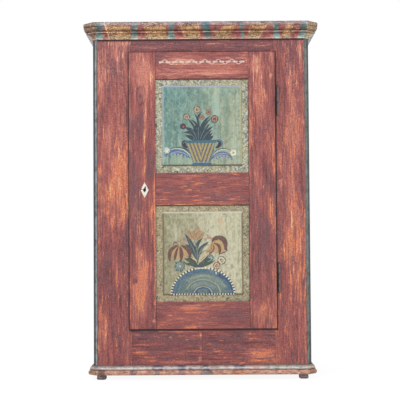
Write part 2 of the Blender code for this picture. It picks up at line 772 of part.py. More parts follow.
def make_door_rails(door, paint):
    """The door's three rails; the lock rail has twin tenons, so that the key hole misses them."""
    r = DOOR_EDGE_RADIUS
    middle = (DOOR_FACE + DOOR_BACK) / 2
    xs = [DOOR_SHIFT + side * (DOOR_WIDTH / 2 - DOOR_STILE - FIT) for side in (-1, 1)]
    for name, (low, high, tenons) in door_rails().items():
        if name == "door_bottom_rail":
            foot = [(DOOR_BACK, low + DOOR_REBATE), (-FIT, low + DOOR_REBATE), (-FIT, low)]
            foot += arc((DOOR_FACE + r, low + r), (r, r), -90, -180, 3)
        else:
            foot = groove_section(low, 1)
        if name == "door_top_rail":
            head = [*arc((DOOR_FACE + r, high - r), (r, r), 180, 90, 3), (-FIT, high)]
            head += [(-FIT, high - DOOR_REBATE), (DOOR_BACK, high - DOOR_REBATE)]
        else:
            head = list(reversed(groove_section(high, -1)))
        section = [(y_at(depth), z) for depth, z in (*foot, *head)]
        fused = []
        for bottom, top in tenons:
            for side, shoulder in zip((-1, 1), xs):
                ends = (shoulder - side * TENON_ROOT, shoulder + side * (DOOR_TENON_LENGTH + FIT / 2))
                depths = centred(middle, DOOR_TENON_THICKNESS)
                fused.append(depth_box(ends, depths, (bottom, top)))
        door.add(name, prism(section, "X", xs[0], xs[1]), paint, fused=fused)


def groove_section(edge, inward):
    """A rail's grooved edge as (depth, z) points, from the back face to the front face."""
    root = edge + inward * GROOVE_DEPTH
    return [
        (DOOR_BACK, edge),
        (GROOVE_BACK, edge),
        (GROOVE_BACK, root),
        (GROOVE_FRONT, root),
        (GROOVE_FRONT, edge),
        (DOOR_FACE, edge),
    ]


def raised_panel(bottom, top):
    """A raised and fielded panel for the opening between two heights, with its tongue in the grooves."""
    left = DOOR_SHIFT - DOOR_WIDTH / 2 + DOOR_STILE
    right = DOOR_SHIFT + DOOR_WIDTH / 2 - DOOR_STILE
    tongue = GROOVE_DEPTH - PANEL_PLAY
    tongue_face = GROOVE_FRONT + FIT
    margin_face = tongue_face - MARGIN_RISE
    steps = [
        (-tongue, GROOVE_BACK - FIT),
        (-tongue, tongue_face),
        (0.0, tongue_face),
        (PANEL_MARGIN, margin_face),
        (PANEL_MARGIN + FIELD_SLOPE, margin_face - FIELD_RISE),
    ]
    bm = bmesh.new()
    rings = []
    for inset, depth in steps:
        corners = [
            (left + inset, bottom + inset),
            (right - inset, bottom + inset),
            (right - inset, top - inset),
            (left + inset, top - inset),
        ]
        rings.append([bm.verts.new((x, y_at(depth), z)) for x, z in corners])
    bm.faces.new(rings[0])
    bm.faces.new(rings[-1])
    for a, b in zip(rings, rings[1:]):
        for i in range(4):
            j = (i + 1) % 4
            bm.faces.new((a[i], a[j], b[j], b[i]))
    bmesh.ops.recalc_face_normals(bm, faces=bm.faces)
    return bm


def make_panels(door, upper_paint, lower_paint):
    """The two painted panels."""
    low = raised_panel(DOOR_BOTTOM + DOOR_BOTTOM_RAIL, LOCK_RAIL_BOTTOM)
    high = raised_panel(LOCK_RAIL_TOP, TOP_RAIL_BOTTOM)
    door.add("door_lower_panel", low, lower_paint)
    door.add("door_upper_panel", high, upper_paint)


def door_leaf(middle, grow):
    """The hinge leaf that runs sideways into the door's edge, grown on each side."""
    low = middle + LEAF_GAP
    offset = HINGE_DEPTH + DOOR_LEAF_OFFSET
    tip = HINGE_X - HINGE_OFF_EDGE - DOOR_LEAF_REACH
    depths = centred(offset, LEAF_THICKNESS + 2 * grow)
    return depth_box((HINGE_X - DOOR_LEAF_ROOT, tip - grow), depths, (low - grow, low + LEAF_HEIGHT + grow))


def frame_leaf(middle, grow):
    """The hinge leaf that runs straight back into the front stile, grown on each side."""
    high = middle - LEAF_GAP
    xs = centred(HINGE_X, LEAF_THICKNESS + 2 * grow)
    depths = (HINGE_DEPTH + FRAME_LEAF_ROOT, FRAME_LEAF_REACH + grow)
    return depth_box(xs, depths, (high - LEAF_HEIGHT - grow, high + grow))


def make_hinges(carcase, door, iron):
    """Two barrel hinges: the door's knuckles turn on pins that stand on the frame's knuckles."""
    centre = (HINGE_X, y_at(HINGE_DEPTH))
    radius = KNUCKLE_RADIUS
    bore = PIN_RADIUS + PIN_CLEARANCE
    for name, middle in HINGE_HEIGHTS.items():
        crown = middle + HINGE_LENGTH / 2
        foot = middle - HINGE_LENGTH / 2
        finial = [(radius * width, FINIAL_LENGTH * rise) for width, rise in FINIAL_TAPER]
        split = middle + FIT / 2
        bore_end = split + PIN_LENGTH
        sleeve = [(bore, split), (radius, split)]
        sleeve += [(r, crown - up) for r, up in finial]
        sleeve += [(0.0, crown), (0.0, bore_end + BORE_POINT), (bore, bore_end), (bore, split)]
        upper = turned(sleeve, centre, KNUCKLE_SIDES)
        door.add(f"{name}_hinge_door_half", upper, iron, fused=[door_leaf(middle, 0.0)])
        split = middle - FIT / 2
        shoulder = split + PIN_LENGTH - PIN_POINT
        stand = [(0.0, foot)]
        stand += [(r, foot + up) for r, up in reversed(finial)]
        stand += [(radius, split), (PIN_RADIUS, split)]
        stand += arc((0.0, shoulder), (PIN_RADIUS, PIN_POINT), 0, 60, 2)
        stand.append((0.0, shoulder + PIN_POINT))
        lower = turned(stand, centre, KNUCKLE_SIDES)
        carcase.add(f"{name}_hinge_frame_half", lower, iron, fused=[frame_leaf(middle, 0.0)])


def keyhole(depths):
    """The key hole: a round hole with a slot above it for the key's bit."""
    half_slot = KEYHOLE_SLOT_WIDTH / 2
    start = math.degrees(math.acos(half_slot / KEYHOLE_RADIUS))
    outline = arc((KEY_X, KEY_Z), (KEYHOLE_RADIUS, KEYHOLE_RADIUS), 180 - start, 360 + start, 12)
    outline.append((KEY_X + half_slot, KEY_Z + KEYHOLE_SLOT_RISE))
    outline.append((KEY_X - half_slot, KEY_Z + KEYHOLE_SLOT_RISE))
    return prism(outline, "Y", y_at(depths[0]), y_at(depths[1]))


def make_escutcheon(door, plate):
    """The white diamond plate round the key hole."""
    outline = [
        (KEY_X, KEY_Z - ESCUTCHEON_HEIGHT / 2),
        (KEY_X + ESCUTCHEON_WIDTH / 2, KEY_Z),
        (KEY_X, KEY_Z + ESCUTCHEON_HEIGHT / 2),
        (KEY_X - ESCUTCHEON_WIDTH / 2, KEY_Z),
    ]
    back = DOOR_FACE - FIT
    bm = prism(outline, "Y", y_at(back - ESCUTCHEON_THICKNESS), y_at(back))
    hole = keyhole((back - ESCUTCHEON_THICKNESS - OVERRUN, back + OVERRUN))
    door.add("escutcheon", bm, plate, cuts=[hole])


def make_lock_case(door, iron):
    """The box lock's case on the back of the door, with the drill pin and the stud under the bolt."""
    left = KEY_X - CASE_LEFT
    right = KEY_X + CASE_RIGHT
    low = KEY_Z - CASE_BELOW
    high = KEY_Z + CASE_ABOVE
    back = CASE_FRONT + CASE_DEPTH
    wall = CASE_WALL
    case = depth_box((left, right), (CASE_FRONT, back), (low, high))
    flange_xs = (left + wall / 2, right + CASE_FLANGE)
    flange_zs = (low - CASE_FLANGE, high + CASE_FLANGE)
    flange = depth_box(flange_xs, (CASE_FRONT, CASE_FRONT + wall), flange_zs)
    hollow_depths = (CASE_FRONT - OVERRUN, CASE_INNER_BACK)
    hollow = depth_box((left + wall, right - wall), hollow_depths, (low + wall, high - wall))
    slot_xs = (left - OVERRUN, left + wall + OVERRUN)
    slot_depths = (BOLT_FRONT - FIT, BOLT_BACK + FIT / 2)
    slot = depth_box(slot_xs, slot_depths, (BOLT_BOTTOM - FIT, BOLT_TOP + FIT))
    peg_depths = (CASE_FRONT + wall, CASE_INNER_BACK + wall / 2)
    drill_pin = peg(KEY_X, KEY_Z, DRILL_PIN_RADIUS, peg_depths)
    stud_x = KEY_X + BOLT_TAIL - BOLT_THROW - STUD_RADIUS
    stud = peg(stud_x, BOLT_BOTTOM - FIT - STUD_RADIUS, STUD_RADIUS, peg_depths)
    door.add("lock_case", case, iron, fused=[flange], cuts=[hollow, slot], inserted=[drill_pin, stud])


def catch_x():
    """Where the spring rests in the bolt's rest notch."""
    return KEY_X - CASE_LEFT / 2


def make_bolt(bolt_slide, iron):
    """The sliding bolt, with the key's talon below and a notch for each end of its throw above."""
    tail = KEY_X + BOLT_TAIL
    notch = BOLT_NOTCH
    talon = centred(KEY_X, 2 * notch)
    catch = catch_x()
    outline = [
        (BOLT_END, BOLT_BOTTOM),
        (talon[0], BOLT_BOTTOM),
        (talon[0], BOLT_BOTTOM + notch),
        (talon[1], BOLT_BOTTOM + notch),
        (talon[1], BOLT_BOTTOM),
        (tail, BOLT_BOTTOM),
        (tail, BOLT_TOP),
        (catch + BOLT_THROW + notch / 2, BOLT_TOP),
        (catch + BOLT_THROW, BOLT_TOP - notch / 2),
        (catch + BOLT_THROW - notch / 2, BOLT_TOP),
        (catch + notch / 2, BOLT_TOP),
        (catch, BOLT_TOP - notch / 2),
        (catch - notch / 2, BOLT_TOP),
        (BOLT_END, BOLT_TOP),
    ]
    bolt_slide.add("lock_bolt", prism(outline, "Y", y_at(BOLT_FRONT), y_at(BOLT_BACK)), iron)


def make_lock_spring(door, iron):
    """The leaf spring that bears on the bolt, curved down from the case's upper right corner."""
    start = Vector((catch_x(), BOLT_TOP + FIT))
    end_x = KEY_X + CASE_RIGHT - CASE_WALL - FIT
    end = Vector((end_x, KEY_Z + CASE_ABOVE - CASE_WALL - FIT - SPRING_THICKNESS))
    sag = SPRING_SAG * (end.y - start.y)
    lower = []
    upper = []
    for step in range(SPRING_STEPS + 1):
        share = step / SPRING_STEPS
        place = start.lerp(end, share)
        place.y -= sag * math.sin(math.pi * share) * share
        lower.append((place.x, max(place.y, BOLT_TOP + FIT)))
        upper.append((place.x, max(place.y, BOLT_TOP + FIT) + SPRING_THICKNESS))
    middle = (BOLT_FRONT + BOLT_BACK) / 2
    ys = [y_at(depth) for depth in centred(middle, SPRING_WIDTH)]
    door.add("lock_spring", prism(lower + upper[::-1], "Y", *ys), iron)


def make_keeper(carcase, iron):
    """The iron staple behind the left stile that the bolt shoots into."""
    middle = (BOLT_BOTTOM + BOLT_TOP) / 2
    half_eye = BOLT_HEIGHT / 2 + KEEPER_CLEARANCE
    seat = BOARD + FIT
    eye_back = BOLT_BACK + KEEPER_CLEARANCE
    t = KEEPER_THICKNESS
    half = [
        (seat, half_eye),
        (seat, half_eye + t + KEEPER_FOOT),
        (seat + t, half_eye + t + KEEPER_FOOT),
        (seat + t, half_eye + t),
        (eye_back + t, half_eye + t),
    ]
    inner = [(eye_back, half_eye)]
    outline = [(depth, middle + rise) for depth, rise in half]
    outline += [(depth, middle - rise) for depth, rise in reversed(half)]
    outline += [(depth, middle - rise) for depth, rise in inner]
    outline += [(depth, middle + rise) for depth, rise in inner]
    section = [(y_at(depth), z) for depth, z in outline]
    edge = opening_x(-1) - KEEPER_SETBACK
    carcase.add("lock_keeper", prism(section, "X", edge, edge - KEEPER_WIDTH), iron)


def main():
    """Builds the cupboard."""
    clear_scene()
    paint = {name: make_material(name) for name in FINISHES}
    carcase = Assembly("carcase", (0.0, 0.0, 0.0))
    door = Assembly("door_axis", (HINGE_X, y_at(HINGE_DEPTH), DOOR_BOTTOM), carcase)
    bolt_place = (BOLT_END, y_at((BOLT_FRONT + BOLT_BACK) / 2), (BOLT_BOTTOM + BOLT_TOP) / 2)
    bolt_slide = Assembly("bolt_axis", bolt_place, door)

    make_corner_posts(carcase, paint["green_paint"])
    make_side_panels(carcase, paint["red_paint"])
    make_front_stiles(carcase, paint["red_paint"])
    make_front_rails(carcase, paint["red_paint"])
    make_level_boards(carcase, paint["bare_pine"])
    make_back(carcase, paint["bare_pine"])
    make_shelves(carcase, paint["bare_pine"])
    make_feet(carcase, paint["dark_foot_paint"])
    make_mouldings(carcase, paint["cornice_paint"], paint["base_paint"])
    make_door_stiles(door, paint["red_paint"])
    make_door_rails(door, paint["red_paint"])
    make_panels(door, paint["teal_panel_paint"], paint["cream_panel_paint"])
    make_hinges(carcase, door, paint["iron"])
    make_escutcheon(door, paint["white_plate"])
    make_lock_case(door, paint["iron"])
    make_bolt(bolt_slide, paint["iron"])
    make_lock_spring(door, paint["iron"])
    make_keeper(carcase, paint["iron"])


main()
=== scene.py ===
"""Looks of a one-door painted farmhouse cupboard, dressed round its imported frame.

The frame gives every place: its front faces -Y and +Z is up, in metres.  Each sub-assembly is a class
that builds worn boards, mouldings, ironwork and painted ornament over the solids of the frame.
"""

import logging
import math
from dataclasses import dataclass, field
from enum import Enum

import bpy
import numpy as np
from mathutils import Matrix, Vector

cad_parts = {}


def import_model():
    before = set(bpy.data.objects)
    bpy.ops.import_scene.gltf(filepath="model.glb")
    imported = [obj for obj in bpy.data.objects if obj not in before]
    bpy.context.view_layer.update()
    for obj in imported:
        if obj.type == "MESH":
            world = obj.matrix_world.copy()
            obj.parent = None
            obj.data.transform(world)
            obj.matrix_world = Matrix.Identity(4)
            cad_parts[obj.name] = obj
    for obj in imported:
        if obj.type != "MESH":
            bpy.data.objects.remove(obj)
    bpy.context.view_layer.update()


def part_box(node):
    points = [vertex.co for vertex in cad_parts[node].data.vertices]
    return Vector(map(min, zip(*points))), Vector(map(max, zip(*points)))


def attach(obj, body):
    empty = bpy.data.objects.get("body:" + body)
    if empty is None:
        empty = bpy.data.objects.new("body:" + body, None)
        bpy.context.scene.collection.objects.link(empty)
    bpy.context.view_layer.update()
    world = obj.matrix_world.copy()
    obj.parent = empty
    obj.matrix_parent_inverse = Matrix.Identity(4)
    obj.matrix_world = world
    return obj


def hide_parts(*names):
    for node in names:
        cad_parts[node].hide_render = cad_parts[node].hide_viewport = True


LOG = logging.getLogger("cupboard")

Colour = tuple[float, float, float, float]
Tone = tuple[int, int, int]
Pair = tuple[float, float]
Place = tuple[float, float, float]
Faces = list[list[int]]
Material = bpy.types.Material

# Places of the frame, in metres
HAIR = 0.0003
FRONT = -0.2265
CANT = 0.024
HALF_BODY = 0.533
CORNICE_FOOT = 1.670
CORNICE_HEIGHT = 0.080
BASE_HEIGHT = 0.047
HINGE_X = 0.3765
# The door's outline as left, right, bottom and top; the frame round it gets a painted shadow.
DOOR_SHADE_OUTLINE = (-0.3535, 0.3650, 0.2435, 1.6035)
PANEL_LEFT, PANEL_RIGHT = -0.2245, 0.2345
SIDES = (("left", -1), ("right", 1))


def shade(red: int, green: int, blue: int, alpha: float = 1.0) -> Colour:
    """Turns screen values from 0 to 255 into the linear colour that renders as them.

    Args:
        red: Red as seen on screen.
        green: Green as seen on screen.
        blue: Blue as seen on screen.
        alpha: Passed on as it is.

    Returns:
        The linear colour.
    """
    parts = [value / 255 for value in (red, green, blue)]
    return (*(part / 12.92 if part <= 0.04045 else ((part + 0.055) / 1.055) ** 2.4 for part in parts), alpha)


def linear(colour: object) -> object:
    """A tone as seen on screen as its linear colour; a colour or a signal stays as it is."""
    return shade(*colour) if isinstance(colour, tuple) and len(colour) == 3 else colour


WHITE = shade(255, 255, 255)
# How far one step of a seed moves a pattern on each axis.
SEED_STEP = (7.3, 3.1, 5.7)
# How strongly every finish mirrors light.
GLEAM = 0.3


class Grain(Enum):
    """The way that the wood's grain runs."""

    ACROSS = 0
    DEEP = 1
    UPRIGHT = 2


class Blend(Enum):
    """How one colour is laid on another."""

    COVER = "MIX"
    DARKEN = "MULTIPLY"


# Shader recipes


def feed(node: bpy.types.ShaderNode, inputs: dict[int | str, object]) -> None:
    """Links inputs of a node to other sockets, or sets their plain values.

    Args:
        node: The node.
        inputs: A signal, a socket, a number or a colour for each input.
    """
    for name, value in inputs.items():
        value = getattr(value, "socket", value)
        if isinstance(value, bpy.types.NodeSocket):
            node.id_data.links.new(value, node.inputs[name])
        else:
            node.inputs[name].default_value = value


def add_node(tree: bpy.types.NodeTree, kind: str, inputs: dict[int | str, object], output: int | str = 0,
             **options: object) -> bpy.types.NodeSocket:
    """Adds a shader node.

    Args:
        tree: The node tree.
        kind: The node's type, without its prefix.
        inputs: What its inputs are fed.
        output: The output that is wanted.
        options: Settings of the node.

    Returns:
        The output socket.
    """
    node = tree.nodes.new(f"ShaderNode{kind}")
    for name, value in options.items():
        setattr(node, name, value)
    feed(node, inputs)
    return node.outputs[output]


@dataclass(frozen=True)
class Signal:
    """A value in a recipe; sums on it add the nodes that work them out."""

    recipe: "Recipe"
    socket: bpy.types.NodeSocket

    def __add__(self, other: object) -> "Signal":
        """The sum."""
        return self.recipe.maths("ADD", self, other)

    def __sub__(self, other: object) -> "Signal":
        """The difference."""
        return self.recipe.maths("SUBTRACT", self, other)

    def __rsub__(self, other: float) -> "Signal":
        """A number less this value."""
        return self.recipe.maths("SUBTRACT", other, self)

    def __mul__(self, other: object) -> "Signal":
        """The product."""
        return self.recipe.maths("MULTIPLY", self, other)

    def __abs__(self) -> "Signal":
        """The value without its sign."""
        return self.recipe.maths("ABSOLUTE", self)


class Recipe:
    """The node tree of one material, with a short call for each kind of node."""

    def __init__(self, name: str, grain: Grain = Grain.UPRIGHT, seed: float = 0.0) -> None:
        """Starts an empty Principled material.

        Args:
            name: The material's name.
            grain: The way that the grain runs.
            seed: How far every pattern is moved, so that boards differ.
        """
        self.material = bpy.data.materials.new(name)
        self.material.use_nodes = True
        self.grain, self.seed = grain, seed
        self.place = self.node("TexCoord", {}, "Object")

    def node(self, kind: str, inputs: dict[int | str, object], output: int | str = 0, **options: object) -> Signal:
        """Adds a node and gives one of its outputs as a signal."""
        return Signal(self, add_node(self.material.node_tree, kind, inputs, output, **options))

    def scales(self, across: float, along: float) -> Place:
        """Repeats in a metre on each axis, from those across and along the grain."""
        return tuple(along if axis == self.grain.value else across for axis in range(3))

    def stretched(self, scale: Place, shift: float = 0.0) -> Signal:
        """Object coordinates scaled on each axis and moved by the seed and a shift."""
        seed = self.seed + shift
        return self.node("Mapping", {"Vector": self.place, "Scale": scale,
                                     "Location": tuple(seed * step for step in SEED_STEP)})

    def noise(self, scale: Place, shift: float, detail: float, rough: float, warp: float) -> Signal:
        """Soft noise that repeats as often in a metre as the scale says."""
        return self.node("TexNoise", {"Vector": self.stretched(scale, shift), "Scale": 1.0, "Detail": detail,
                                      "Roughness": rough, "Distortion": warp})

    def streaks(self, across: float, along: float, shift: float, detail: float, rough: float,
                warp: float = 0.0) -> Signal:
        """Noise drawn out along the grain."""
        return self.noise(self.scales(across, along), shift, detail, rough, warp)

    def cloud(self, across: float, up: float, shift: float, detail: float, rough: float,
              warp: float = 0.0) -> Signal:
        """Noise with one scale across and another upwards, whichever way the grain runs."""
        return self.noise((across, across, up), shift, detail, rough, warp)

    def attribute(self, name: str, kind: str = "Fac") -> Signal:
        """A named attribute of the mesh, as a number or a colour."""
        return self.node("Attribute", {}, kind, attribute_name=name)

    def axis(self, name: str) -> Signal:
        """One of the object coordinates X, Y or Z."""
        return self.node("SeparateXYZ", {0: self.place}, name)

    def maths(self, operation: str, first: object, second: object = 0.0) -> Signal:
        """One sum on numbers or signals."""
        return self.node("Math", {0: first, 1: second}, operation=operation)

    def outside(self, left: float, right: float, bottom: float, top: float) -> Signal:
        """How far a point of the front lies outside a rectangle: the larger of its two overshoots."""
        across, up = abs(self.axis("X") - (left + right) / 2), abs(self.axis("Z") - (bottom + top) / 2)
        return self.maths("MAXIMUM", across - (right - left) / 2, up - (top - bottom) / 2)

    def total(self, *terms: tuple[Signal, float]) -> Signal:
        """Half, plus each noise's swing about its middle times its weight."""
        swings = [(noise - 0.5) * weight for noise, weight in terms]
        return sum(swings[1:], swings[0] + 0.5)

    def span(self, value: Signal, low: float, high: float, kind: str = "SMOOTHSTEP") -> Signal:
        """Maps low to 0 and high to 1, smoothly and without overshoot."""
        return self.node("MapRange", {"Value": value, "From Min": low, "From Max": high}, interpolation_type=kind)

    def ramp(self, value: Signal, *stops: tuple[float, Colour | Tone]) -> Signal:
        """A run of colours along a value.

        Args:
            value: The signal that picks the colour.
            stops: Pairs of a place from 0 to 1 and its colour.

        Returns:
            The colour.
        """
        result = self.node("ValToRGB", {0: value})
        elements = result.socket.node.color_ramp.elements
        while len(elements) < len(stops):
            elements.new(0.5)
        for element, (place, colour) in zip(elements, stops):
            element.position, element.color = place, linear(colour)
        return result

    def lay(self, amount: object, under: object, over: object, how: Blend = Blend.COVER) -> Signal:
        """Lays so much of one colour, from 0 to 1, over another."""
        return self.node("Mix", {0: amount, 6: linear(under), 7: linear(over)}, 2, data_type="RGBA",
                         blend_type=how.value)

    def darken(self, under: object, over: object) -> Signal:
        """Multiplies one colour by another."""
        return self.lay(1.0, under, over, Blend.DARKEN)

    def glaze(self, under: object, over: object, value: Signal, low: float, high: float,
              amount: float = 1.0) -> Signal:
        """Lays a colour over another where a value passes from low to high."""
        return self.lay(self.span(value, low, high) * amount, under, over)

    def finish(self, colour: object, rough: object, height: Signal, depth: float,
               metallic: float = 0.0) -> Material:
        """Feeds the shader.

        Args:
            colour: The base colour.
            rough: The roughness.
            height: The relief, from 0 to 1.
            depth: How deep the relief is, in metres.
            metallic: 1 for bare metal.

        Returns:
            The finished material.
        """
        feed(self.material.node_tree.nodes["Principled BSDF"],
             {"Base Color": colour, "Roughness": rough, "Metallic": metallic, "Specular IOR Level": GLEAM,
              "Normal": self.node("Bump", {"Distance": depth, "Height": height})})
        return self.material


@dataclass(frozen=True)
class Coat:
    """The colours of one old coat of paint, from the dirt in it to the wood beneath it."""

    # The darkest tone: dirt in the paint, and also the colour of painted shadow.
    soot_and_shade: Tone = (66, 42, 44)
    deep: Tone = (118, 70, 72)
    coat: Tone = (150, 86, 85)
    thin: Tone = (176, 102, 95)
    pale: Tone = (205, 132, 116)
    rubbed: Tone = (228, 136, 98)
    rosy: Tone = (216, 138, 124)
    bare: Tone = (248, 198, 150)
    haze: Tone = (136, 98, 104)


@dataclass(frozen=True)
class Knot:
    """A knot that shows through the paint: an oval at a place on the front."""

    x: float
    z: float
    wide: float
    high: float


@dataclass(frozen=True)
class WornPaint:
    """Old paint on pine: streaked along the grain, hazed in places and rubbed to the wood in others, with painted
    shadow round the door and under the cornice where asked.
    """

    name: str
    grain: Grain
    coat: Coat = Coat()
    seed: float = 0.0
    lift: float = 0.0
    haze: float = 0.6
    sore: float = 0.9
    calm: float = 1.0
    shadow_outline: tuple[float, float, float, float] | None = None
    shadow_ledge: float | None = None
    seams: tuple[float, ...] = ()
    knots: tuple[Knot, ...] = ()

    def material(self) -> Material:
        """Mixes the paint; it reads the mesh's wear and haze attributes.

        Returns:
            The material.
        """
        recipe = Recipe(self.name, self.grain, self.seed)
        coat, swing = self.coat, 0.8 * self.calm
        zone = recipe.streaks(12, 3.0, 0, 3, 0.6, 0.6)
        streak = recipe.streaks(95, 4.5, 1, 3, 0.65, 0.2)
        thread = recipe.streaks(220, 18, 2, 2, 0.6, 0.2)
        wear = recipe.attribute("wear") + self.lift
        tone = recipe.total((streak, swing), (thread, 0.8), (zone, swing)) + wear
        colour = recipe.ramp(tone, (0.12, coat.soot_and_shade), (0.32, coat.deep), (0.48, coat.coat), (0.66, coat.thin),
                             (0.90, coat.pale))
        cloud = recipe.streaks(34, 8, 3, 4, 0.75, 0.5) + recipe.attribute("haze")
        # Painted shade under the cornice: the veil thickens in the 75 mm below its foot.
        if self.shadow_ledge is not None:
            drop = self.shadow_ledge - recipe.axis("Z")
            cloud = cloud + recipe.span(drop, 0.075, 0.020) * 0.10
        veil = recipe.lay(0.8, recipe.darken(colour, coat.haze), coat.haze)
        colour = recipe.glaze(colour, veil, cloud, 0.49, 0.62, self.haze)
        ragged = recipe.streaks(104, 7.5, 4, 3, 0.72, 0.3)
        push = recipe.span(recipe.total((zone, 1.5)) + wear, 0.40, 0.95) * 0.34
        sore = recipe.total((ragged, 1.8), (thread, 0.8)) + push
        rubbed = recipe.glaze(coat.rubbed, coat.rosy, recipe.axis("Z"), 1.05, 1.66)
        scrape = recipe.total((recipe.streaks(125, 15, 7, 2, 0.6, 0.4), 1.7), (zone, 0.7)) + push * 0.5
        colour = recipe.glaze(colour, rubbed, sore, 0.82, 0.855, self.sore)
        colour = recipe.glaze(colour, coat.bare, sore, 1.04, 1.09, self.sore)
        colour = recipe.glaze(colour, rubbed, scrape, 0.84, 0.88, self.sore)
        colour = recipe.glaze(colour, coat.soot_and_shade, recipe.streaks(180, 3.4, 5, 1, 0.4, 0.2), 0.66, 0.71, 0.5)
        grit = recipe.cloud(230, 230, 6, 2, 0.7, 0.4)
        colour = recipe.darken(colour, recipe.ramp(grit, (0.34, (176, 170, 172)), (0.56, WHITE)))
        for knot in self.knots:
            colour = self.with_knot(recipe, colour, knot, ragged)
        for seam in self.seams:
            colour = recipe.glaze(colour, coat.soot_and_shade, abs(recipe.axis("X") - seam), 0.0042, 0.0012, 0.75)
        # Painted shadow on the frame round the door: soft shade within 15 mm and a dark line a few millimetres out.
        if self.shadow_outline is not None:
            away = recipe.outside(*self.shadow_outline)
            colour = recipe.glaze(colour, coat.soot_and_shade, away, 0.015, 0.0, 0.35)
            colour = recipe.glaze(colour, (44, 32, 36), away, 0.0068, 0.0042, 0.85)
        # Painted shadow under the cornice: a soft dark band and a darker line just below its foot.
        if self.shadow_ledge is not None:
            colour = recipe.glaze(colour, (96, 44, 50), drop, 0.018, 0.003, 0.5)
            colour = recipe.glaze(colour, (50, 28, 28), drop, 0.0105, 0.0060, 0.92)
        relief = recipe.total((streak, 0.6), (thread, 0.6), (ragged, 0.4))
        return recipe.finish(colour, relief * 0.25 + 0.42, relief, 0.0004)

    def with_knot(self, recipe: Recipe, colour: Signal, knot: Knot, ragged: Signal) -> Signal:
        """Adds a knot: a dark ring where the ragged oval distance is 1, and a hazed eye within.

        Args:
            recipe: The recipe.
            colour: The colour so far.
            knot: The knot.
            ragged: Noise that frays its outline.

        Returns:
            The new colour.
        """
        right = recipe.maths("DIVIDE", recipe.axis("X") - knot.x, knot.wide)
        up = recipe.maths("DIVIDE", recipe.axis("Z") - knot.z, knot.high)
        away = recipe.maths("SQRT", right * right + up * up) + (ragged - 0.5) * 1.6
        colour = recipe.glaze(colour, self.coat.haze, away, 1.1, 0.5, 0.35)
        colour = recipe.glaze(colour, self.coat.soot_and_shade, abs(away - 0.85), 0.22, 0.0, 0.5)
        return recipe.glaze(colour, self.coat.soot_and_shade, away, 0.42, 0.1, 0.5)


@dataclass(frozen=True)
class OldPine:
    """Bare pine that has darkened with age: growth rings as bands along the grain, and fine pores."""

    name: str
    grain: Grain
    seed: float
    light: Tone = (176, 134, 90)
    dark: Tone = (118, 78, 48)

    def material(self) -> Material:
        """Mixes the timber.

        Returns:
            The material.
        """
        recipe = Recipe(self.name, self.grain, self.seed)
        ring = recipe.streaks(46, 0.9, 0, 2, 0.5, 0.9)
        pore = recipe.streaks(520, 14, 1, 3, 0.6)
        tone = recipe.total((ring, 1.6), (pore, 0.7), (recipe.streaks(5, 1.6, 2, 3, 0.55, 0.5), 0.9))
        colour = recipe.ramp(tone, (0.22, self.dark), (0.52, self.light), (0.85, (205, 170, 122)))
        place = recipe.stretched(recipe.scales(5.5, 2.1), 3)
        knot = recipe.node("TexVoronoi", {"Vector": place, "Scale": 1.0}, "Distance")
        colour = recipe.glaze(colour, (92, 58, 36), knot, 0.10, 0.03, 0.8)
        return recipe.finish(colour, 0.72, recipe.total((ring, 0.5), (pore, 0.6)), 0.0006)


@dataclass(frozen=True)
class StripedPaint:
    """Brushed stripes whose colours the mesh carries, blotched with other colours and flecked."""

    name: str
    grain: Grain
    seed: float
    blotches: tuple[Tone, ...]
    speck: Tone
    rub: float = 0.5
    specks: float = 0.6
    size: float = 1.0

    def material(self) -> Material:
        """Mixes the paint; it reads the mesh's tint and wear attributes.

        Returns:
            The material.
        """
        recipe = Recipe(self.name, self.grain, self.seed)
        brush = recipe.streaks(230, 30, 0, 3, 0.6, 0.4)
        cloud = recipe.cloud(36, 36, 1, 3, 0.6, 0.6)
        fleck = recipe.cloud(70 * self.size, 94 * self.size, 2, 1, 0.5, 1.6)
        squiggle = recipe.span(abs(fleck - 0.5), 0.050, 0.030)
        fleck = recipe.maths("MAXIMUM", recipe.span(fleck, 0.65, 0.69), squiggle)
        tone = recipe.ramp(recipe.total((brush, 1.5), (cloud, 1.4)), (0.10, (128, 120, 122)),
                           (0.5, (230, 228, 228)), (0.85, WHITE))
        colour = recipe.darken(recipe.attribute("tint", "Color"), tone)
        wear = recipe.attribute("wear")
        for number, blotch in enumerate(self.blotches):
            place = recipe.streaks(90 * self.size, 34 * self.size, 5 + number * 3, 3, 0.7, 1.0) + wear
            colour = recipe.glaze(colour, blotch, place, 0.55, 0.66, self.rub)
        colour = recipe.lay(fleck * recipe.attribute("tint", "Alpha") * self.specks, colour, self.speck)
        return recipe.finish(colour, 0.5, recipe.total((brush, 0.6), (fleck, 0.4)), 0.0005)


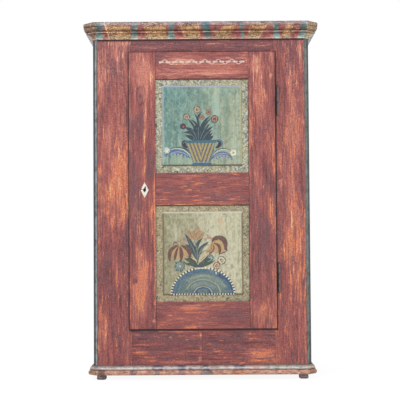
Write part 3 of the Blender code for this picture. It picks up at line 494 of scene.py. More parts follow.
@dataclass(frozen=True)
class Ground:
    """The ground coat of a painted panel: a run of colours from left to right, with upright streaks.

    The edges are its left, right, bottom and top, each with a line of colour along it: at the top a painted
    highlight and at the bottom a painted shadow of the field's step, at the sides edge colours.  Each blot has
    the x and z of its middle, half its width and height, and its colour.
    """

    name: str
    seed: float
    edges: tuple[float, float, float, float]
    tones: tuple[Tone, ...]
    streak: Tone
    amount: float
    pale: Tone
    sink: float = 0.0
    rim_tones_and_light: tuple[Tone, ...] = ()
    blots: tuple[tuple[float, float, float, float, Tone], ...] = ()

    def coat(self, recipe: Recipe) -> Signal:
        """The ground's colour, which its ornament also shows where it is rubbed.

        Args:
            recipe: The recipe to add it to.

        Returns:
            The colour.
        """
        left, right, bottom, top = self.edges
        drift = recipe.cloud(9, 5, self.seed, 3, 0.65, 0.6)
        place = recipe.span(recipe.axis("X"), left, right, "LINEAR") + (drift - 0.5) * 1.2
        place = place + recipe.span(recipe.axis("Z"), top, bottom) * self.sink
        last = len(self.tones) - 1
        colour = recipe.ramp(place, *((number / last, tone) for number, tone in enumerate(self.tones)))
        band = recipe.cloud(46, 2.6, self.seed + 1, 4, 0.66, 0.3)
        grain = recipe.total((band, 1.7), (recipe.cloud(230, 12, self.seed + 2, 3, 0.6, 0.3), 1.2))
        colour = recipe.glaze(colour, self.streak, grain, 0.46, 0.95, self.amount)
        colour = recipe.glaze(colour, self.pale, grain, 0.42, 0.05, 0.6)
        mottle = recipe.cloud(70, 44, self.seed + 5, 4, 0.75, 0.8)
        colour = recipe.darken(colour, recipe.ramp(mottle, (0.32, (194, 198, 196)), (0.54, WHITE)))
        colour = recipe.glaze(colour, self.pale, mottle, 0.54, 0.68, 0.45)
        spot = recipe.cloud(120, 120, self.seed + 3, 2, 0.6, 0.8)
        colour = recipe.glaze(colour, (96, 102, 84), spot, 0.655, 0.71, 0.55)
        colour = recipe.glaze(colour, (184, 166, 118), spot, 0.345, 0.30, 0.6)
        for x, z, wide, high, over in self.blots:
            blot = recipe.outside(x - wide, x + wide, z - high, z + high) + (band - 0.5) * 0.06
            colour = recipe.glaze(colour, over, blot, 0.006, -0.006, 0.5)
        # Lines along the field's edges: the top one is a painted highlight and the bottom one a painted shadow of
        # the step.
        sides = (("X", left, 1.0), ("X", right, -1.0), ("Z", bottom, 1.0), ("Z", top, -1.0))
        for (axis, edge, sign), tone in zip(sides, self.rim_tones_and_light):
            colour = recipe.glaze(colour, tone, (recipe.axis(axis) - edge) * sign, 0.0065, 0.0035, 0.8)
        return colour

    def material(self) -> Material:
        """The ground as a material."""
        recipe = Recipe(self.name)
        return recipe.finish(self.coat(recipe), 0.5, recipe.cloud(300, 9, self.seed + 2, 2, 0.5), 0.0003)


@dataclass(frozen=True)
class Stipple:
    """A margin dabbed with a sponge: pale dabs and dark specks on grey-green, with a painted shadow along the
    frame.
    """

    name: str
    seed: float
    base: Tone
    pale: Tone
    warm: Tone
    dark: Tone
    bottom: float
    top: float

    def material(self) -> Material:
        """Mixes the stippled coat.

        Returns:
            The material.
        """
        recipe = Recipe(self.name, seed=self.seed)
        dab = recipe.cloud(82, 82, 0, 2, 0.7, 1.4)
        colour = recipe.glaze(self.base, self.warm, recipe.cloud(12, 12, 1, 2, 0.5), 0.42, 0.60)
        colour = recipe.glaze(colour, self.dark, recipe.cloud(45, 45, 4, 3, 0.6), 0.50, 0.68, 0.35)
        colour = recipe.glaze(colour, self.pale, dab, 0.51, 0.56, 0.95)
        colour = recipe.glaze(colour, self.dark, recipe.cloud(92, 92, 2, 2, 0.7, 1.4), 0.56, 0.61, 0.9)
        # Painted shadow of the frame on the margin: a dark band just inside the opening, mostly along its top and
        # right.
        away = recipe.outside(PANEL_LEFT - 0.004, PANEL_RIGHT, self.bottom - 0.003, self.top - 0.0025)
        colour = recipe.glaze(colour, (72, 54, 44), away, -0.0050, -0.0015, 0.8)
        return recipe.finish(colour, 0.55, dab, 0.0005)


@dataclass(frozen=True)
class BrushColour:
    """A thin brush colour of the ornament, rubbed so that the ground shows through."""

    name: str
    colour: Tone
    ground: Ground
    rub: float

    def material(self) -> Material:
        """Mixes the colour.

        Returns:
            The material.
        """
        recipe = Recipe(self.name)
        streak = recipe.cloud(190, 120, 4.0, 3, 0.6, 0.5)
        colour = recipe.darken(self.colour, recipe.ramp(streak, (0.25, (185, 185, 185)), (0.6, WHITE)))
        gone = recipe.total((recipe.cloud(55, 34, 5.0, 3, 0.65, 0.4), 1.2), (streak, 1.0))
        colour = recipe.glaze(colour, self.ground.coat(recipe), gone, 0.5, 0.85, self.rub)
        return recipe.finish(colour, 0.5, streak, 0.0002)


@dataclass(frozen=True)
class Iron:
    """Forged iron, dark with age, with rubbed bright spots and a little rust; given an x, painted shade falls left
    of it and a painted highlight right of it, as on a lit cylinder.
    """

    name: str
    dark: Tone
    bright: Tone
    rust: Tone
    rusty: float
    light_split_x: float | None = None

    def material(self) -> Material:
        """Mixes the iron.

        Returns:
            The material.
        """
        recipe = Recipe(self.name)
        pit = recipe.cloud(160, 160, 0, 4, 0.7, 0.5)
        cloud = recipe.cloud(38, 26, 2.0, 3, 0.6, 0.5)
        colour = recipe.ramp(recipe.total((pit, 1.2), (cloud, 1.0)), (0.3, self.dark), (0.8, self.bright))
        colour = recipe.glaze(colour, self.rust, cloud, 0.52, 0.68, self.rusty)
        # Painted light of the hinge's knuckle: shade on its left half and a highlight on its right.
        if self.light_split_x is not None:
            side = recipe.axis("X") - self.light_split_x
            colour = recipe.glaze(colour, (34, 28, 32), side, -0.0004, -0.0034, 0.8)
            colour = recipe.glaze(colour, self.bright, side, 0.0012, 0.0040, 0.6)
        return recipe.finish(colour, pit * 0.3 + 0.35, pit, 0.0004, 0.45)


@dataclass(frozen=True)
class WhitePlate:
    """The off-white plate round the key hole, darkened round the hole by dirt and by painted shade, grimy at its
    rim and chipped.
    """

    name: str
    face: Tone
    dirt_and_shade: Tone

    def material(self) -> Material:
        """Mixes the plate's enamel; it reads the mesh's wear attribute.

        Returns:
            The material.
        """
        recipe = Recipe(self.name)
        cloud = recipe.cloud(240, 240, 3.0, 4, 0.65, 0.8)
        colour = recipe.glaze(self.face, self.dirt_and_shade, recipe.attribute("wear") + (cloud - 0.5), 0.30, 0.75)
        return recipe.finish(colour, 0.35, cloud, 0.0002)


# Surfaces worked out with numpy


@dataclass
class Shell:
    """A closed surface: its points, its faces, and values that each point carries."""

    points: np.ndarray
    faces: Faces
    values: dict[str, np.ndarray] = field(default_factory=dict)
    slot: int = 0


def ripple(points: np.ndarray, step: float, seed: float, axis: int = 2, stretch: float = 4.0) -> np.ndarray:
    """Smooth waves from -1 to 1: a mean of sines whose directions and phases come from the seed.

    Args:
        points: Points in space, in any shape that ends in 3.
        step: Rough distance between crests, in metres.
        seed: Picks the directions and phases.
        axis: The axis along which the waves are longer.
        stretch: How many times longer they are there.

    Returns:
        One value for each point.
    """
    scale = np.full(3, 1.0 / step)
    scale[axis] /= stretch
    total = np.zeros(points.shape[:-1])
    for turn in range(5):
        angle = seed * 1.7 + turn * 2.4
        way = np.array([math.cos(angle), math.sin(angle * 1.3), math.cos(angle * 0.7 + 1.0)])
        total += np.sin((points * scale * way * (2.2 + turn)).sum(-1) + seed * 9.1 + turn * 1.9)
    return total / 5


def bell(value: np.ndarray, middle: float, width: float) -> np.ndarray:
    """A bell curve of height 1: e to the minus square of the distance from the middle in widths."""
    return np.exp(-((value - middle) / width) ** 2)


def blend(under: np.ndarray, over: np.ndarray | Colour, share: np.ndarray) -> np.ndarray:
    """Colours laid over others by a share for each point, in as many channels as the lower ones have."""
    share = share[..., None]
    return under * (1 - share) + np.array(over)[..., :under.shape[-1]] * share


def flipped(faces: Faces) -> Faces:
    """The same faces, seen from their other side."""
    return [face[::-1] for face in faces]


def section_loop(corners: list[Pair], ease: float | list[float], step: float) -> tuple[np.ndarray, np.ndarray]:
    """A closed outline with each corner eased by a parabola through its two tangent points.

    Args:
        corners: The corners in order, either way round.
        ease: How far from a corner its easing starts, for all corners or for each.
        step: The most between two points of a straight stretch.

    Returns:
        The loop's points, anticlockwise, and how near each is to a corner, from 0 to 1.
    """
    points = np.array(corners, float)
    eases = np.broadcast_to(np.array(ease, float), len(points)).copy()
    following = np.roll(points, -1, 0)
    if ((points[:, 0] * following[:, 1]) - (following[:, 0] * points[:, 1])).sum() < 0:
        points, eases = points[::-1], eases[::-1]
    lengths = np.linalg.norm(np.roll(points, -1, 0) - points, axis=1)
    eases = np.minimum(eases, np.minimum(lengths, np.roll(lengths, 1)) * 0.45)
    loop = []
    share = np.linspace(0, 1, 4)[:, None]
    for number, corner in enumerate(points):
        following = (number + 1) % len(points)
        before, after = points[number - 1], points[following]
        start = corner + (before - corner) / np.linalg.norm(before - corner) * eases[number]
        end = corner + (after - corner) / np.linalg.norm(after - corner) * eases[number]
        loop.append((1 - share) ** 2 * start + 2 * share * (1 - share) * corner + share ** 2 * end)
        stop = after + (corner - after) / np.linalg.norm(corner - after) * eases[following]
        count = int(np.linalg.norm(stop - end) / step)
        if count > 1:
            loop.append(end + (stop - end) * (np.arange(1, count) / count)[:, None])
    result = np.concatenate(loop)
    away = np.linalg.norm(result[:, None] - points[None], axis=2).min(1)
    return result, np.exp(-away / 0.0028)


def stations(low: float, high: float, ease: float, step: float) -> tuple[np.ndarray, np.ndarray]:
    """Places along a board, with eased ends.

    Args:
        low: Where the board starts.
        high: Where it ends.
        ease: Radius of the rounding at its ends.
        step: The most between two places.

    Returns:
        The places, and how far the section is drawn in at each.
    """
    turn = np.linspace(0, math.pi / 2, 4)
    drawn = ease * (1 - np.cos(turn))
    middle = np.linspace(low + ease, high - ease, max(2, int((high - low) / step)))[1:-1]
    reach = ease * np.sin(turn)
    places = np.concatenate([low + ease - reach[::-1], middle, high - ease + reach])
    return places, np.concatenate([drawn[::-1], np.zeros(len(middle)), drawn])


def skin(rings: np.ndarray, wrap: bool = True) -> Faces:
    """Quads between neighbouring points of a grid of rings.

    Args:
        rings: Points in rows and columns.
        wrap: Whether each row closes on itself.

    Returns:
        The faces, outward for anticlockwise rows that climb.
    """
    rows, columns = rings.shape[:2]
    index = np.arange(rows * columns).reshape(rows, columns)
    after = np.roll(index, -1, 1) if wrap else index[:, 1:]
    here = index if wrap else index[:, :-1]
    return np.stack([here[:-1], after[:-1], after[1:], here[1:]], -1).reshape(-1, 4).tolist()


def place_section(loops: np.ndarray, places: np.ndarray, grain: Grain) -> np.ndarray:
    """Carries section loops along an axis; the section's plane is the next two axes in turn.

    Args:
        loops: Loop points for each place, as rows, columns and two coordinates, or one row for all.
        places: Where each row is along the grain.
        grain: The axis to carry it along.

    Returns:
        The points as rows, columns and three coordinates.
    """
    points = np.zeros((len(places), loops.shape[-2], 3))
    points[..., grain.value] = places[:, None]
    points[..., (grain.value + 1) % 3] = loops[..., 0]
    points[..., (grain.value + 2) % 3] = loops[..., 1]
    return points


def closed_sweep(rings: np.ndarray) -> Faces:
    """The faces of a swept solid, with a cap at each end."""
    rows, columns = rings.shape[:2]
    return [*skin(rings), list(range(columns))[::-1], list(range((rows - 1) * columns, rows * columns))]


def slab(front: np.ndarray, back: float) -> tuple[np.ndarray, Faces]:
    """A closed slab: a grid that faces -Y, the same grid set flat at a depth behind it, and a rim between.

    Args:
        front: The front's points in rows and columns.
        back: The y of the flat back.

    Returns:
        The points, front first, and the faces.
    """
    rows, columns = front.shape[:2]
    count = rows * columns
    behind = front.copy()
    behind[..., 1] = back
    quads = skin(front, False)
    index = np.arange(count).reshape(rows, columns)
    rim = np.concatenate([index[0, :-1], index[:-1, -1], index[-1, :0:-1], index[:0:-1, 0]])
    after = np.roll(rim, -1)
    faces = quads + [[corner + count for corner in quad[::-1]] for quad in quads]
    faces += np.stack([after, rim, rim + count, after + count], 1).tolist()
    return np.concatenate([front.reshape(-1, 3), behind.reshape(-1, 3)]), faces


# Each value that a point can carry: its attribute's type, the name of its data and its width.
LAYERS = {"tint": ("FLOAT_COLOR", "color", 4), "wear": ("FLOAT", "value", 1), "haze": ("FLOAT", "value", 1)}


def make_piece(name: str, shells: list[Shell], materials: list[Material], body: str,
               sharp: float = 40.0, node: str | None = None) -> bpy.types.Object:
    """Makes one object of some shells, lets it ride on a body and puts it in place of a node.

    Args:
        name: The piece's name.
        shells: Its closed surfaces.
        materials: The materials that the shells' slots count in.
        body: The body of the frame that it moves with.
        sharp: Edges that turn by more than this, in degrees, stay crisp.
        node: The node that it stands for, if any.

    Returns:
        The object.
    """
    points, faces, slots = [], [], []
    values = {key: [] for key in sorted({key for shell in shells for key in shell.values})}
    offset = 0
    for shell in shells:
        flat = shell.points.reshape(-1, 3)
        points.append(flat)
        faces += [[corner + offset for corner in face] for face in shell.faces]
        slots += [shell.slot] * len(shell.faces)
        for key, parts in values.items():
            parts.append(np.reshape(shell.values[key], (len(flat), LAYERS[key][2])))
        offset += len(flat)
    mesh = bpy.data.meshes.new(name)
    mesh.from_pydata(np.concatenate(points).tolist(), [], faces)
    for key, parts in values.items():
        layer = mesh.attributes.new(key, LAYERS[key][0], "POINT")
        layer.data.foreach_set(LAYERS[key][1], np.concatenate(parts).astype(np.float32).ravel())
    for material in materials:
        mesh.materials.append(material)
    mesh.polygons.foreach_set("material_index", slots)
    mesh.polygons.foreach_set("use_smooth", [True] * len(faces))
    mesh.set_sharp_from_angle(angle=math.radians(sharp))
    mesh.update()
    piece = bpy.data.objects.new(name, mesh)
    bpy.context.scene.collection.objects.link(piece)
    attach(piece, body)
    if node is not None:
        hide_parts(node)
    LOG.info("%s: %d points, %d faces", name, len(mesh.vertices), len(mesh.polygons))
    return piece


def face_values(piece: bpy.types.Object, kind: str) -> np.ndarray:
    """The normal or the centre of each face of a piece.

    Args:
        piece: The object.
        kind: The name of the value.

    Returns:
        One row of three for each face.
    """
    values = np.zeros(len(piece.data.polygons) * 3, np.float32)
    piece.data.polygons.foreach_get(kind, values)
    return values.reshape(-1, 3)


# Soft spots on the boards of the front, in millimetres: the middle's x and z, half its width and height,
# how much it is rubbed and how grimy it is, both in hundredths.
SIDE_MARKS = ((120, 900, 120, -10, 8), (1600, 900, 100, -8, 8))
MARKS = {
    "front_stile_left": [
        (-397, 1650, 64, 6, 45, 0), (-491, 1609, 7, 11, 50, 0), (-491, 1575, 6, 14, 50, 0),
        (-432, 1559, 89, 138, 12, 12), (-438, 1125, 79, 246, 19, -8), (-402, 1512, 20, 5, 35, 0),
        (-450, 1204, 8, 89, 35, 0), (-403, 1181, 10, 13, 30, 0), (-500, 1019, 10, 17, 45, 0),
        (-439, 889, 69, 118, 9, -10), (-441, 390, 89, 345, -12, 4), (-371, 722, 15, 89, -10, 25),
        (-416, 531, 6, 79, 40, 0), (-471, 220, 39, 133, 26, -14)],
    "front_stile_right": [
        (441, 1588, 69, 99, 0, 17), (433, 1598, 8, 35, 26, 0), (440, 1464, 15, 49, 30, 0),
        (452, 1212, 38, 130, 36, -6), (444, 922, 25, 197, 20, -5), (442, 701, 20, 128, 14, 0),
        (388, 1070, 6, 49, 35, 0), (388, 952, 10, 25, 40, 0), (440, 511, 25, 89, 18, 0)],
    "bottom_rail_left": [
        (-110, 84, 120, 8, 36, 0), (-110, 233, 110, 6, 26, 0), (-8, 216, 5, 12, 60, 0), (-8, 154, 5, 8, 50, 0),
        (-12, 101, 8, 12, 60, 0), (-312, 219, 20, 5, 45, 0), (-285, 170, 59, 5, 40, 0), (-315, 134, 25, 8, 40, 0),
        (-158, 193, 148, 44, -6, 8)],
    "bottom_rail_right": [(290, 118, 64, 32, 42, 0), (159, 182, 99, 39, -5, 8), (60, 95, 99, 25, 8, 0)],
    "top_rail_left": [(-101, 1636, 246, 44, 0, 12), (-249, 1632, 59, 6, 25, 0)],
    "top_rail_right": [(195, 1634, 197, 44, 0, 12), (303, 1633, 44, 7, 25, 0)],
    "door_lock_stile": [
        (-288, 1500, 59, 110, 52, -20), (-314, 1231, 39, 59, 0, 20), (-275, 1240, 7, 118, 36, 0),
        (-280, 1049, 11, 74, 28, 0), (-330, 912, 22, 64, -5, 30), (-254, 1039, 20, 54, -8, 30),
        (-232, 921, 11, 44, 40, 0), (-306, 785, 25, 54, 22, 0), (-229, 608, 4, 237, 32, 0),
        (-307, 614, 15, 30, 30, 0), (-298, 482, 44, 108, 36, -10), (-322, 482, 12, 15, -50, 25),
        (-298, 336, 35, 44, 12, 0), (-235, 287, 8, 8, 60, 0), (-230, 375, 6, 8, 60, 0)],
    "door_hinge_stile": [
        (272, 1532, 35, 54, 18, -8), (290, 1374, 20, 84, 20, 0), (345, 1487, 7, 9, 50, 0),
        (268, 1001, 15, 94, 20, 0), (356, 1030, 9, 59, 32, 0), (344, 824, 16, 84, 32, 0),
        (302, 483, 10, 123, 20, 0), (301, 328, 59, 54, 16, 0), (309, 702, 39, 123, -4, 10)],
    "door_top_rail": [
        (-3, 1564, 246, 60, 22, -4), (120, 1508, 110, 16, 34, -20), (-90, 1556, 60, 22, 26, -16),
        (-215, 1580, 40, 30, -10, 14), (150, 1585, 70, 12, -6, 10), (-151, 1496, 69, 8, 25, 0),
        (71, 1499, 79, 8, 20, 0)],
    "door_lock_rail": [(-7, 924, 222, 39, -6, 6), (-80, 994, 49, 8, 20, 0)],
    "door_bottom_rail": [
        (-50, 348, 60, 10, 30, 0), (-30, 326, 80, 7, 26, 0), (-90, 300, 50, 8, 24, 0), (-148, 301, 44, 20, 8, 0),
        (62, 358, 79, 7, 18, 0), (120, 300, 100, 30, -10, 6)],
    "side_panel_left": [(-533, *mark) for mark in SIDE_MARKS],
    "side_panel_right": [(533, *mark) for mark in SIDE_MARKS],
}
# The fineness of the boards that the camera sees: points across and along them.
FINE = {"step": 0.003, "stride": 0.007}


@dataclass
class Board:
    """A board with its grain along one axis: a section carried along it, eased, bowed and worn."""

    node: str
    grain: Grain
    corners: list[Pair]
    low: float
    high: float
    seed: float
    ease: float | list[float] = 0.0012
    end_ease: float = 0.0006
    bow: float = 0.0003
    edge_wear: float = 0.22
    step: float = 0.012
    stride: float = 0.016
    trim: float | None = None
    trim_back: float = 0.0

    def shell(self) -> Shell:
        """The board's surface: the loop moved along its normals by bow and edge wear at each place.

        Returns:
            The closed shell, with the wear and haze of each point.
        """
        loop, edge = section_loop(self.corners, self.ease, self.step)
        places, drawn = stations(self.low, self.high, self.end_ease, self.stride)
        if self.trim is not None:
            places, drawn = self.stepped(places, drawn)
        ahead = np.roll(loop, -1, 0) - np.roll(loop, 1, 0)
        normal = np.stack([ahead[:, 1], -ahead[:, 0]], 1)
        normal /= np.linalg.norm(normal, axis=1)[:, None] + 1e-12
        rings = place_section(loop, places, self.grain)
        along = self.grain.value
        chip = np.clip(ripple(rings, 0.03, self.seed + 3, along, 3.0), 0, 1) * 0.0009
        inward = drawn[:, None] + edge * chip + self.bow * (1 + ripple(rings, 0.09, self.seed, along, 5.0)) / 2
        rings = place_section(loop - normal * inward[..., None], places, self.grain)
        if self.trim is not None:
            ends = (places < self.low + self.trim) | (places > self.high - self.trim)
            rings[ends, :, 1] = np.minimum(rings[ends, :, 1], self.trim_back)
        wear = self.edge_wear * edge * (0.6 + ripple(rings, 0.02, self.seed + 5, along, 3.0))
        wear = wear + 0.04 * ripple(rings, 0.07, self.seed + 8, along, 6.0)
        haze = np.zeros_like(wear)
        for x, z, wide, high, rubbed, grimy in MARKS.get(self.node, []):
            spot = bell(rings[..., 0] * 1000, x, wide) * bell(rings[..., 2] * 1000, z, high) / 100
            wear, haze = wear + rubbed * spot, haze + grimy * spot
        return Shell(rings, closed_sweep(rings), {"wear": wear, "haze": haze})

    def stepped(self, places: np.ndarray, drawn: np.ndarray) -> tuple[np.ndarray, np.ndarray]:
        """Adds two close places at each end's step, so that the step is crisp.

        Args:
            places: The places along the board.
            drawn: How far the section is drawn in at each.

        Returns:
            Both, with the new places in order.
        """
        edges = np.array([self.low + self.trim, self.high - self.trim])
        whole = np.concatenate([places, edges - HAIR / 3, edges + HAIR / 3])
        order = np.argsort(whole)
        return whole[order], np.concatenate([drawn, np.zeros(4)])[order]

    def build(self, body: str, slot: str, coat: Material, timber: Material | None = None,
              bare: Place = (0, 1, 0)) -> bpy.types.Object:
        """Makes the board in place of its node.

        Args:
            body: The body that it moves with.
            slot: Not used.
            coat: Its finish.
            timber: The finish of its unpainted face, if it has one.
            bare: The direction that this face looks in.

        Returns:
            The piece.
        """
        coats = [coat] if timber is None else [coat, timber]
        piece = make_piece(f"{self.node}_worn", [self.shell()], coats, body, node=self.node)
        if timber is not None:
            facing = face_values(piece, "normal") @ np.array(bare, np.float32)
            piece.data.polygons.foreach_set("material_index", (facing > 0.7).astype(np.int32))
        return piece


def rectangle(first: Pair, second: Pair) -> list[Pair]:
    """The corners of a rectangle from its two ranges."""
    return [(first[0], second[0]), (first[1], second[0]), (first[1], second[1]), (first[0], second[1])]


def plain(node: str, grain: Grain) -> tuple[str, Grain, list[Pair], float, float]:
    """What a plain board takes from the frame.

    Args:
        node: The frame's node.
        grain: The way that its grain runs.

    Returns:
        The node and grain, the section's corners and the board's two ends.
    """
    low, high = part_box(node)
    first, second = (grain.value + 1) % 3, (grain.value + 2) % 3
    corners = rectangle((low[first], high[first]), (low[second], high[second]))
    return node, grain, corners, low[grain.value], high[grain.value]


# The carcase


class Palette:
    """Every finish of the cupboard, made once."""

    def __init__(self) -> None:
        """Mixes the materials."""
        shadows = {"shadow_outline": DOOR_SHADE_OUTLINE, "shadow_ledge": CORNICE_FOOT}
        knots = (Knot(-0.434, 1.512, 0.016, 0.021), Knot(0.387, 0.991, 0.011, 0.017),
                 Knot(0.445, 0.576, 0.013, 0.023), Knot(-0.403, 1.181, 0.009, 0.012))
        self.red_upright = WornPaint("red_paint_stiles", Grain.UPRIGHT, seed=1.0, lift=0.11, calm=0.85,
                                     knots=knots, **shadows).material()
        self.red_across = WornPaint("red_paint_rails", Grain.ACROSS, seed=9.0, lift=-0.02, sore=1.0, calm=0.75,
                                    **shadows).material()
        knots = (Knot(-0.294, 1.388, 0.027, 0.052), Knot(-0.307, 0.780, 0.015, 0.025))
        self.red_door_upright = WornPaint("red_paint_door_stiles", Grain.UPRIGHT, seed=21.0, lift=0.04,
                                          knots=knots).material()
        self.red_door_across = WornPaint("red_paint_door_rails", Grain.ACROSS, seed=33.0, lift=0.03, calm=0.8,
                                         seams=(PANEL_LEFT, PANEL_RIGHT)).material()
        self.red_side = WornPaint("red_paint_sides", Grain.UPRIGHT, seed=45.0, shadow_ledge=CORNICE_FOOT).material()
        self.green = StripedPaint("green_paint", Grain.UPRIGHT, 3.0, ((150, 138, 128),), (64, 58, 58),
                                  0.3, 0.3).material()
        self.stripes = StripedPaint("cornice_paint", Grain.ACROSS, 5.0, ((232, 206, 172), (122, 70, 60)),
                                    (58, 32, 26), 0.5, 0.9).material()
        blotches = ((232, 190, 160), (122, 118, 128), (150, 78, 62))
        self.base = StripedPaint("base_paint", Grain.ACROSS, 7.0, blotches, (96, 66, 60), 0.6,
                                 size=1.15).material()
        self.pine_upright = OldPine("old_pine_upright", Grain.UPRIGHT, 2.0).material()
        self.pine_across = OldPine("old_pine_across", Grain.ACROSS, 4.0).material()
        self.pine_deep = OldPine("old_pine_deep", Grain.DEEP, 6.0).material()
        scuffed = ((82, 62, 68), (116, 98, 102), (146, 128, 132), (170, 154, 156), (196, 182, 182),
                   (186, 164, 150), (186, 164, 150), (206, 190, 178), (128, 114, 120))
        self.foot = WornPaint("foot_paint", Grain.UPRIGHT, Coat(*scuffed), 50.0).material()
        self.iron = Iron("old_iron", (54, 50, 50), (128, 122, 120), (112, 76, 58), 0.5).material()
        self.hinge = Iron("hinge_iron", (56, 44, 46), (146, 124, 122), (132, 76, 66), 0.6,
                          HINGE_X).material()
        self.plate = WhitePlate("white_plate", (234, 226, 214), (74, 66, 58)).material()


# Colours across each canted strip, from its inner edge outwards: slate paint with a painted highlight along the
# middle and painted shade at the edges, the right strip painted lighter than the left as painted light.
STRIP_PLACES = (0.0, 0.20, 0.38, 0.58, 0.80, 1.0)
STRIP_TONES_AND_LIGHT = {
    "left": ((104, 88, 86), (136, 132, 132), (190, 200, 202), (98, 108, 112), (62, 72, 80), (104, 108, 112)),
    "right": ((150, 124, 120), (136, 146, 142), (150, 162, 160), (122, 134, 132), (92, 100, 104), (80, 84, 88)),
}


def run_of(share: np.ndarray, places: tuple[float, ...], colours: list[Colour]) -> np.ndarray:
    """Colours along a run: each channel is a straight blend between the run's places."""
    return np.stack([np.interp(share, places, [colour[part] for colour in colours]) for part in range(4)], -1)


@dataclass
class Carcase:
    """The standing case: corner strips, sides, front frame, floor and ceiling boards, back and shelves."""

    finishes: Palette
    ease: float = 0.0010
    nosing: float = 0.0045
    lap: float = 0.0125
    nail_rows: int = 4
    nail_radius: float = 0.0032
    nail_rise: float = 0.0008
    nail_from_end: float = 0.05
    nail_from_edge: float = 0.045
    nail_stray: float = 0.004

    def build(self) -> None:
        """Builds every piece of the case."""
        for step in (self.front_frame, self.corner_strips, self.sides, self.back_boards, self.levels, self.nails):
            step()

    def front_frame(self) -> None:
        """The stiles beside the door and the halved rails, whose tenons are hidden in the stiles."""
        coats = self.finishes.red_upright, self.finishes.pine_upright
        for number, (side, _) in enumerate(SIDES):
            board = Board(*plain(f"front_stile_{side}", Grain.UPRIGHT), 3.0 + number * 4, self.ease, **FINE)
            board.build("carcase", "red_paint", *coats)
        coats = self.finishes.red_across, self.finishes.pine_across
        for number, which in enumerate(("top", "bottom")):
            for half, (side, sign) in enumerate(SIDES):
                seed = 11.0 + half * 3 + number
                board = Board(*plain(f"{which}_rail_{side}", Grain.ACROSS), seed, self.ease, **FINE)
                low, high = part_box(f"front_stile_{side}")
                board.low, board.high = (high.x + HAIR, -HAIR / 2) if sign < 0 else (HAIR / 2, low.x - HAIR)
                board.build("carcase", "red_paint", *coats)

    def corner_strips(self) -> None:
        """The canted strips: painted shade at their edges and a painted highlight along the middle."""
        for side, sign in SIDES:
            node = f"corner_post_{side}"
            low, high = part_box(node)
            outer = low.x if sign < 0 else high.x
            inner, back = outer - sign * CANT, low.y + CANT
            loop, edge = section_loop([(outer, back), (inner, low.y), (inner, back)], self.ease, 0.0016)
            rings = place_section(loop, stations(low.z, high.z, 0.0006, 0.012)[0], Grain.UPRIGHT)
            share = (rings[..., 0] - inner) * sign / CANT + 0.05 * ripple(rings, 0.02, 2.0 + sign, 2, 8.0)
            tint = run_of(share, STRIP_PLACES, [shade(*tone) for tone in STRIP_TONES_AND_LIGHT[side]])
            wear = 0.1 * edge * (1 + ripple(rings, 0.02, 6.0, 2, 3.0))
            shell = Shell(rings, closed_sweep(rings), {"tint": tint, "wear": wear})
            make_piece(f"corner_strip_{side}", [shell], [self.finishes.green], "carcase", node=node)

    def sides(self) -> None:
        """The sides, painted outside and bare inside."""
        for number, (side, sign) in enumerate(SIDES):
            board = Board(*plain(f"side_panel_{side}", Grain.UPRIGHT), 61.0 + number * 5, step=0.010)
            board.build("carcase", "red_paint", self.finishes.red_side, self.finishes.pine_upright, (-sign, 0, 0))

    def back_boards(self) -> None:
        """The back boards, each lapped over the next one at half its thickness."""
        for number in range(1, 5):
            node, grain, corners, low, high = plain(f"back_board_{number}", Grain.UPRIGHT)
            (left, front), _, (right, back), _ = corners
            middle = (front + back) / 2
            outline = [(left + (self.lap if number > 1 else 0.0), front), (right, front)]
            if number < 4:
                far = right - self.lap
                outline += [(right, middle - HAIR), (far, middle - HAIR), (far, back), (left, back)]
            else:
                outline += [(right, back), (left, back)]
            if number > 1:
                outline += [(left, middle + HAIR), (left + self.lap, middle + HAIR)]
            board = Board(node, grain, outline, low, high, 71.0 + number, bow=0.0002, step=0.018)
            board.build("carcase", "bare_pine", self.finishes.pine_upright)

    def levels(self) -> None:
        """Floor and ceiling boards and cleats in bare pine, and shelves with a nosing rounded by use."""
        dress([f"{level}_board_{side}" for level in ("bottom", "top") for side, _ in SIDES],
              self.finishes.pine_across)
        dress([f"cleat_{number}_{side}" for number in (1, 2, 3) for side, _ in SIDES], self.finishes.pine_deep)
        for number in (1, 2, 3):
            board = Board(*plain(f"shelf_{number}", Grain.ACROSS), 81.0 + number, self.nosing, step=0.018)
            board.build("carcase", "bare_pine", self.finishes.pine_across)

    def nails(self) -> None:
        """Flat nail heads that hold the back boards, in two rows on each board."""
        shells = []
        low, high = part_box("back_board_1")
        heights = np.linspace(low.z + self.nail_from_end, high.z - self.nail_from_end, self.nail_rows)
        for number in range(1, 5):
            start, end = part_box(f"back_board_{number}")
            for x in (start.x + self.nail_from_edge, end.x - self.nail_from_edge):
                for z in heights:
                    head = (x, high.y, z + self.nail_stray * math.sin(x * 40))
                    shells.append(stud_shell(head, self.nail_radius, self.nail_rise, 1))
        make_piece("back_nails", shells, [self.finishes.iron], "carcase")


def dress(nodes: list[str], material: Material) -> None:
    """Gives solids of the frame a material in place of their plain one.

    Args:
        nodes: The nodes' names.
        material: The material.
    """
    for node in nodes:
        mesh = bpy.data.objects[node].data
        mesh.materials.clear()
        mesh.materials.append(material)
        LOG.info("%s: dressed in %s", node, material.name)


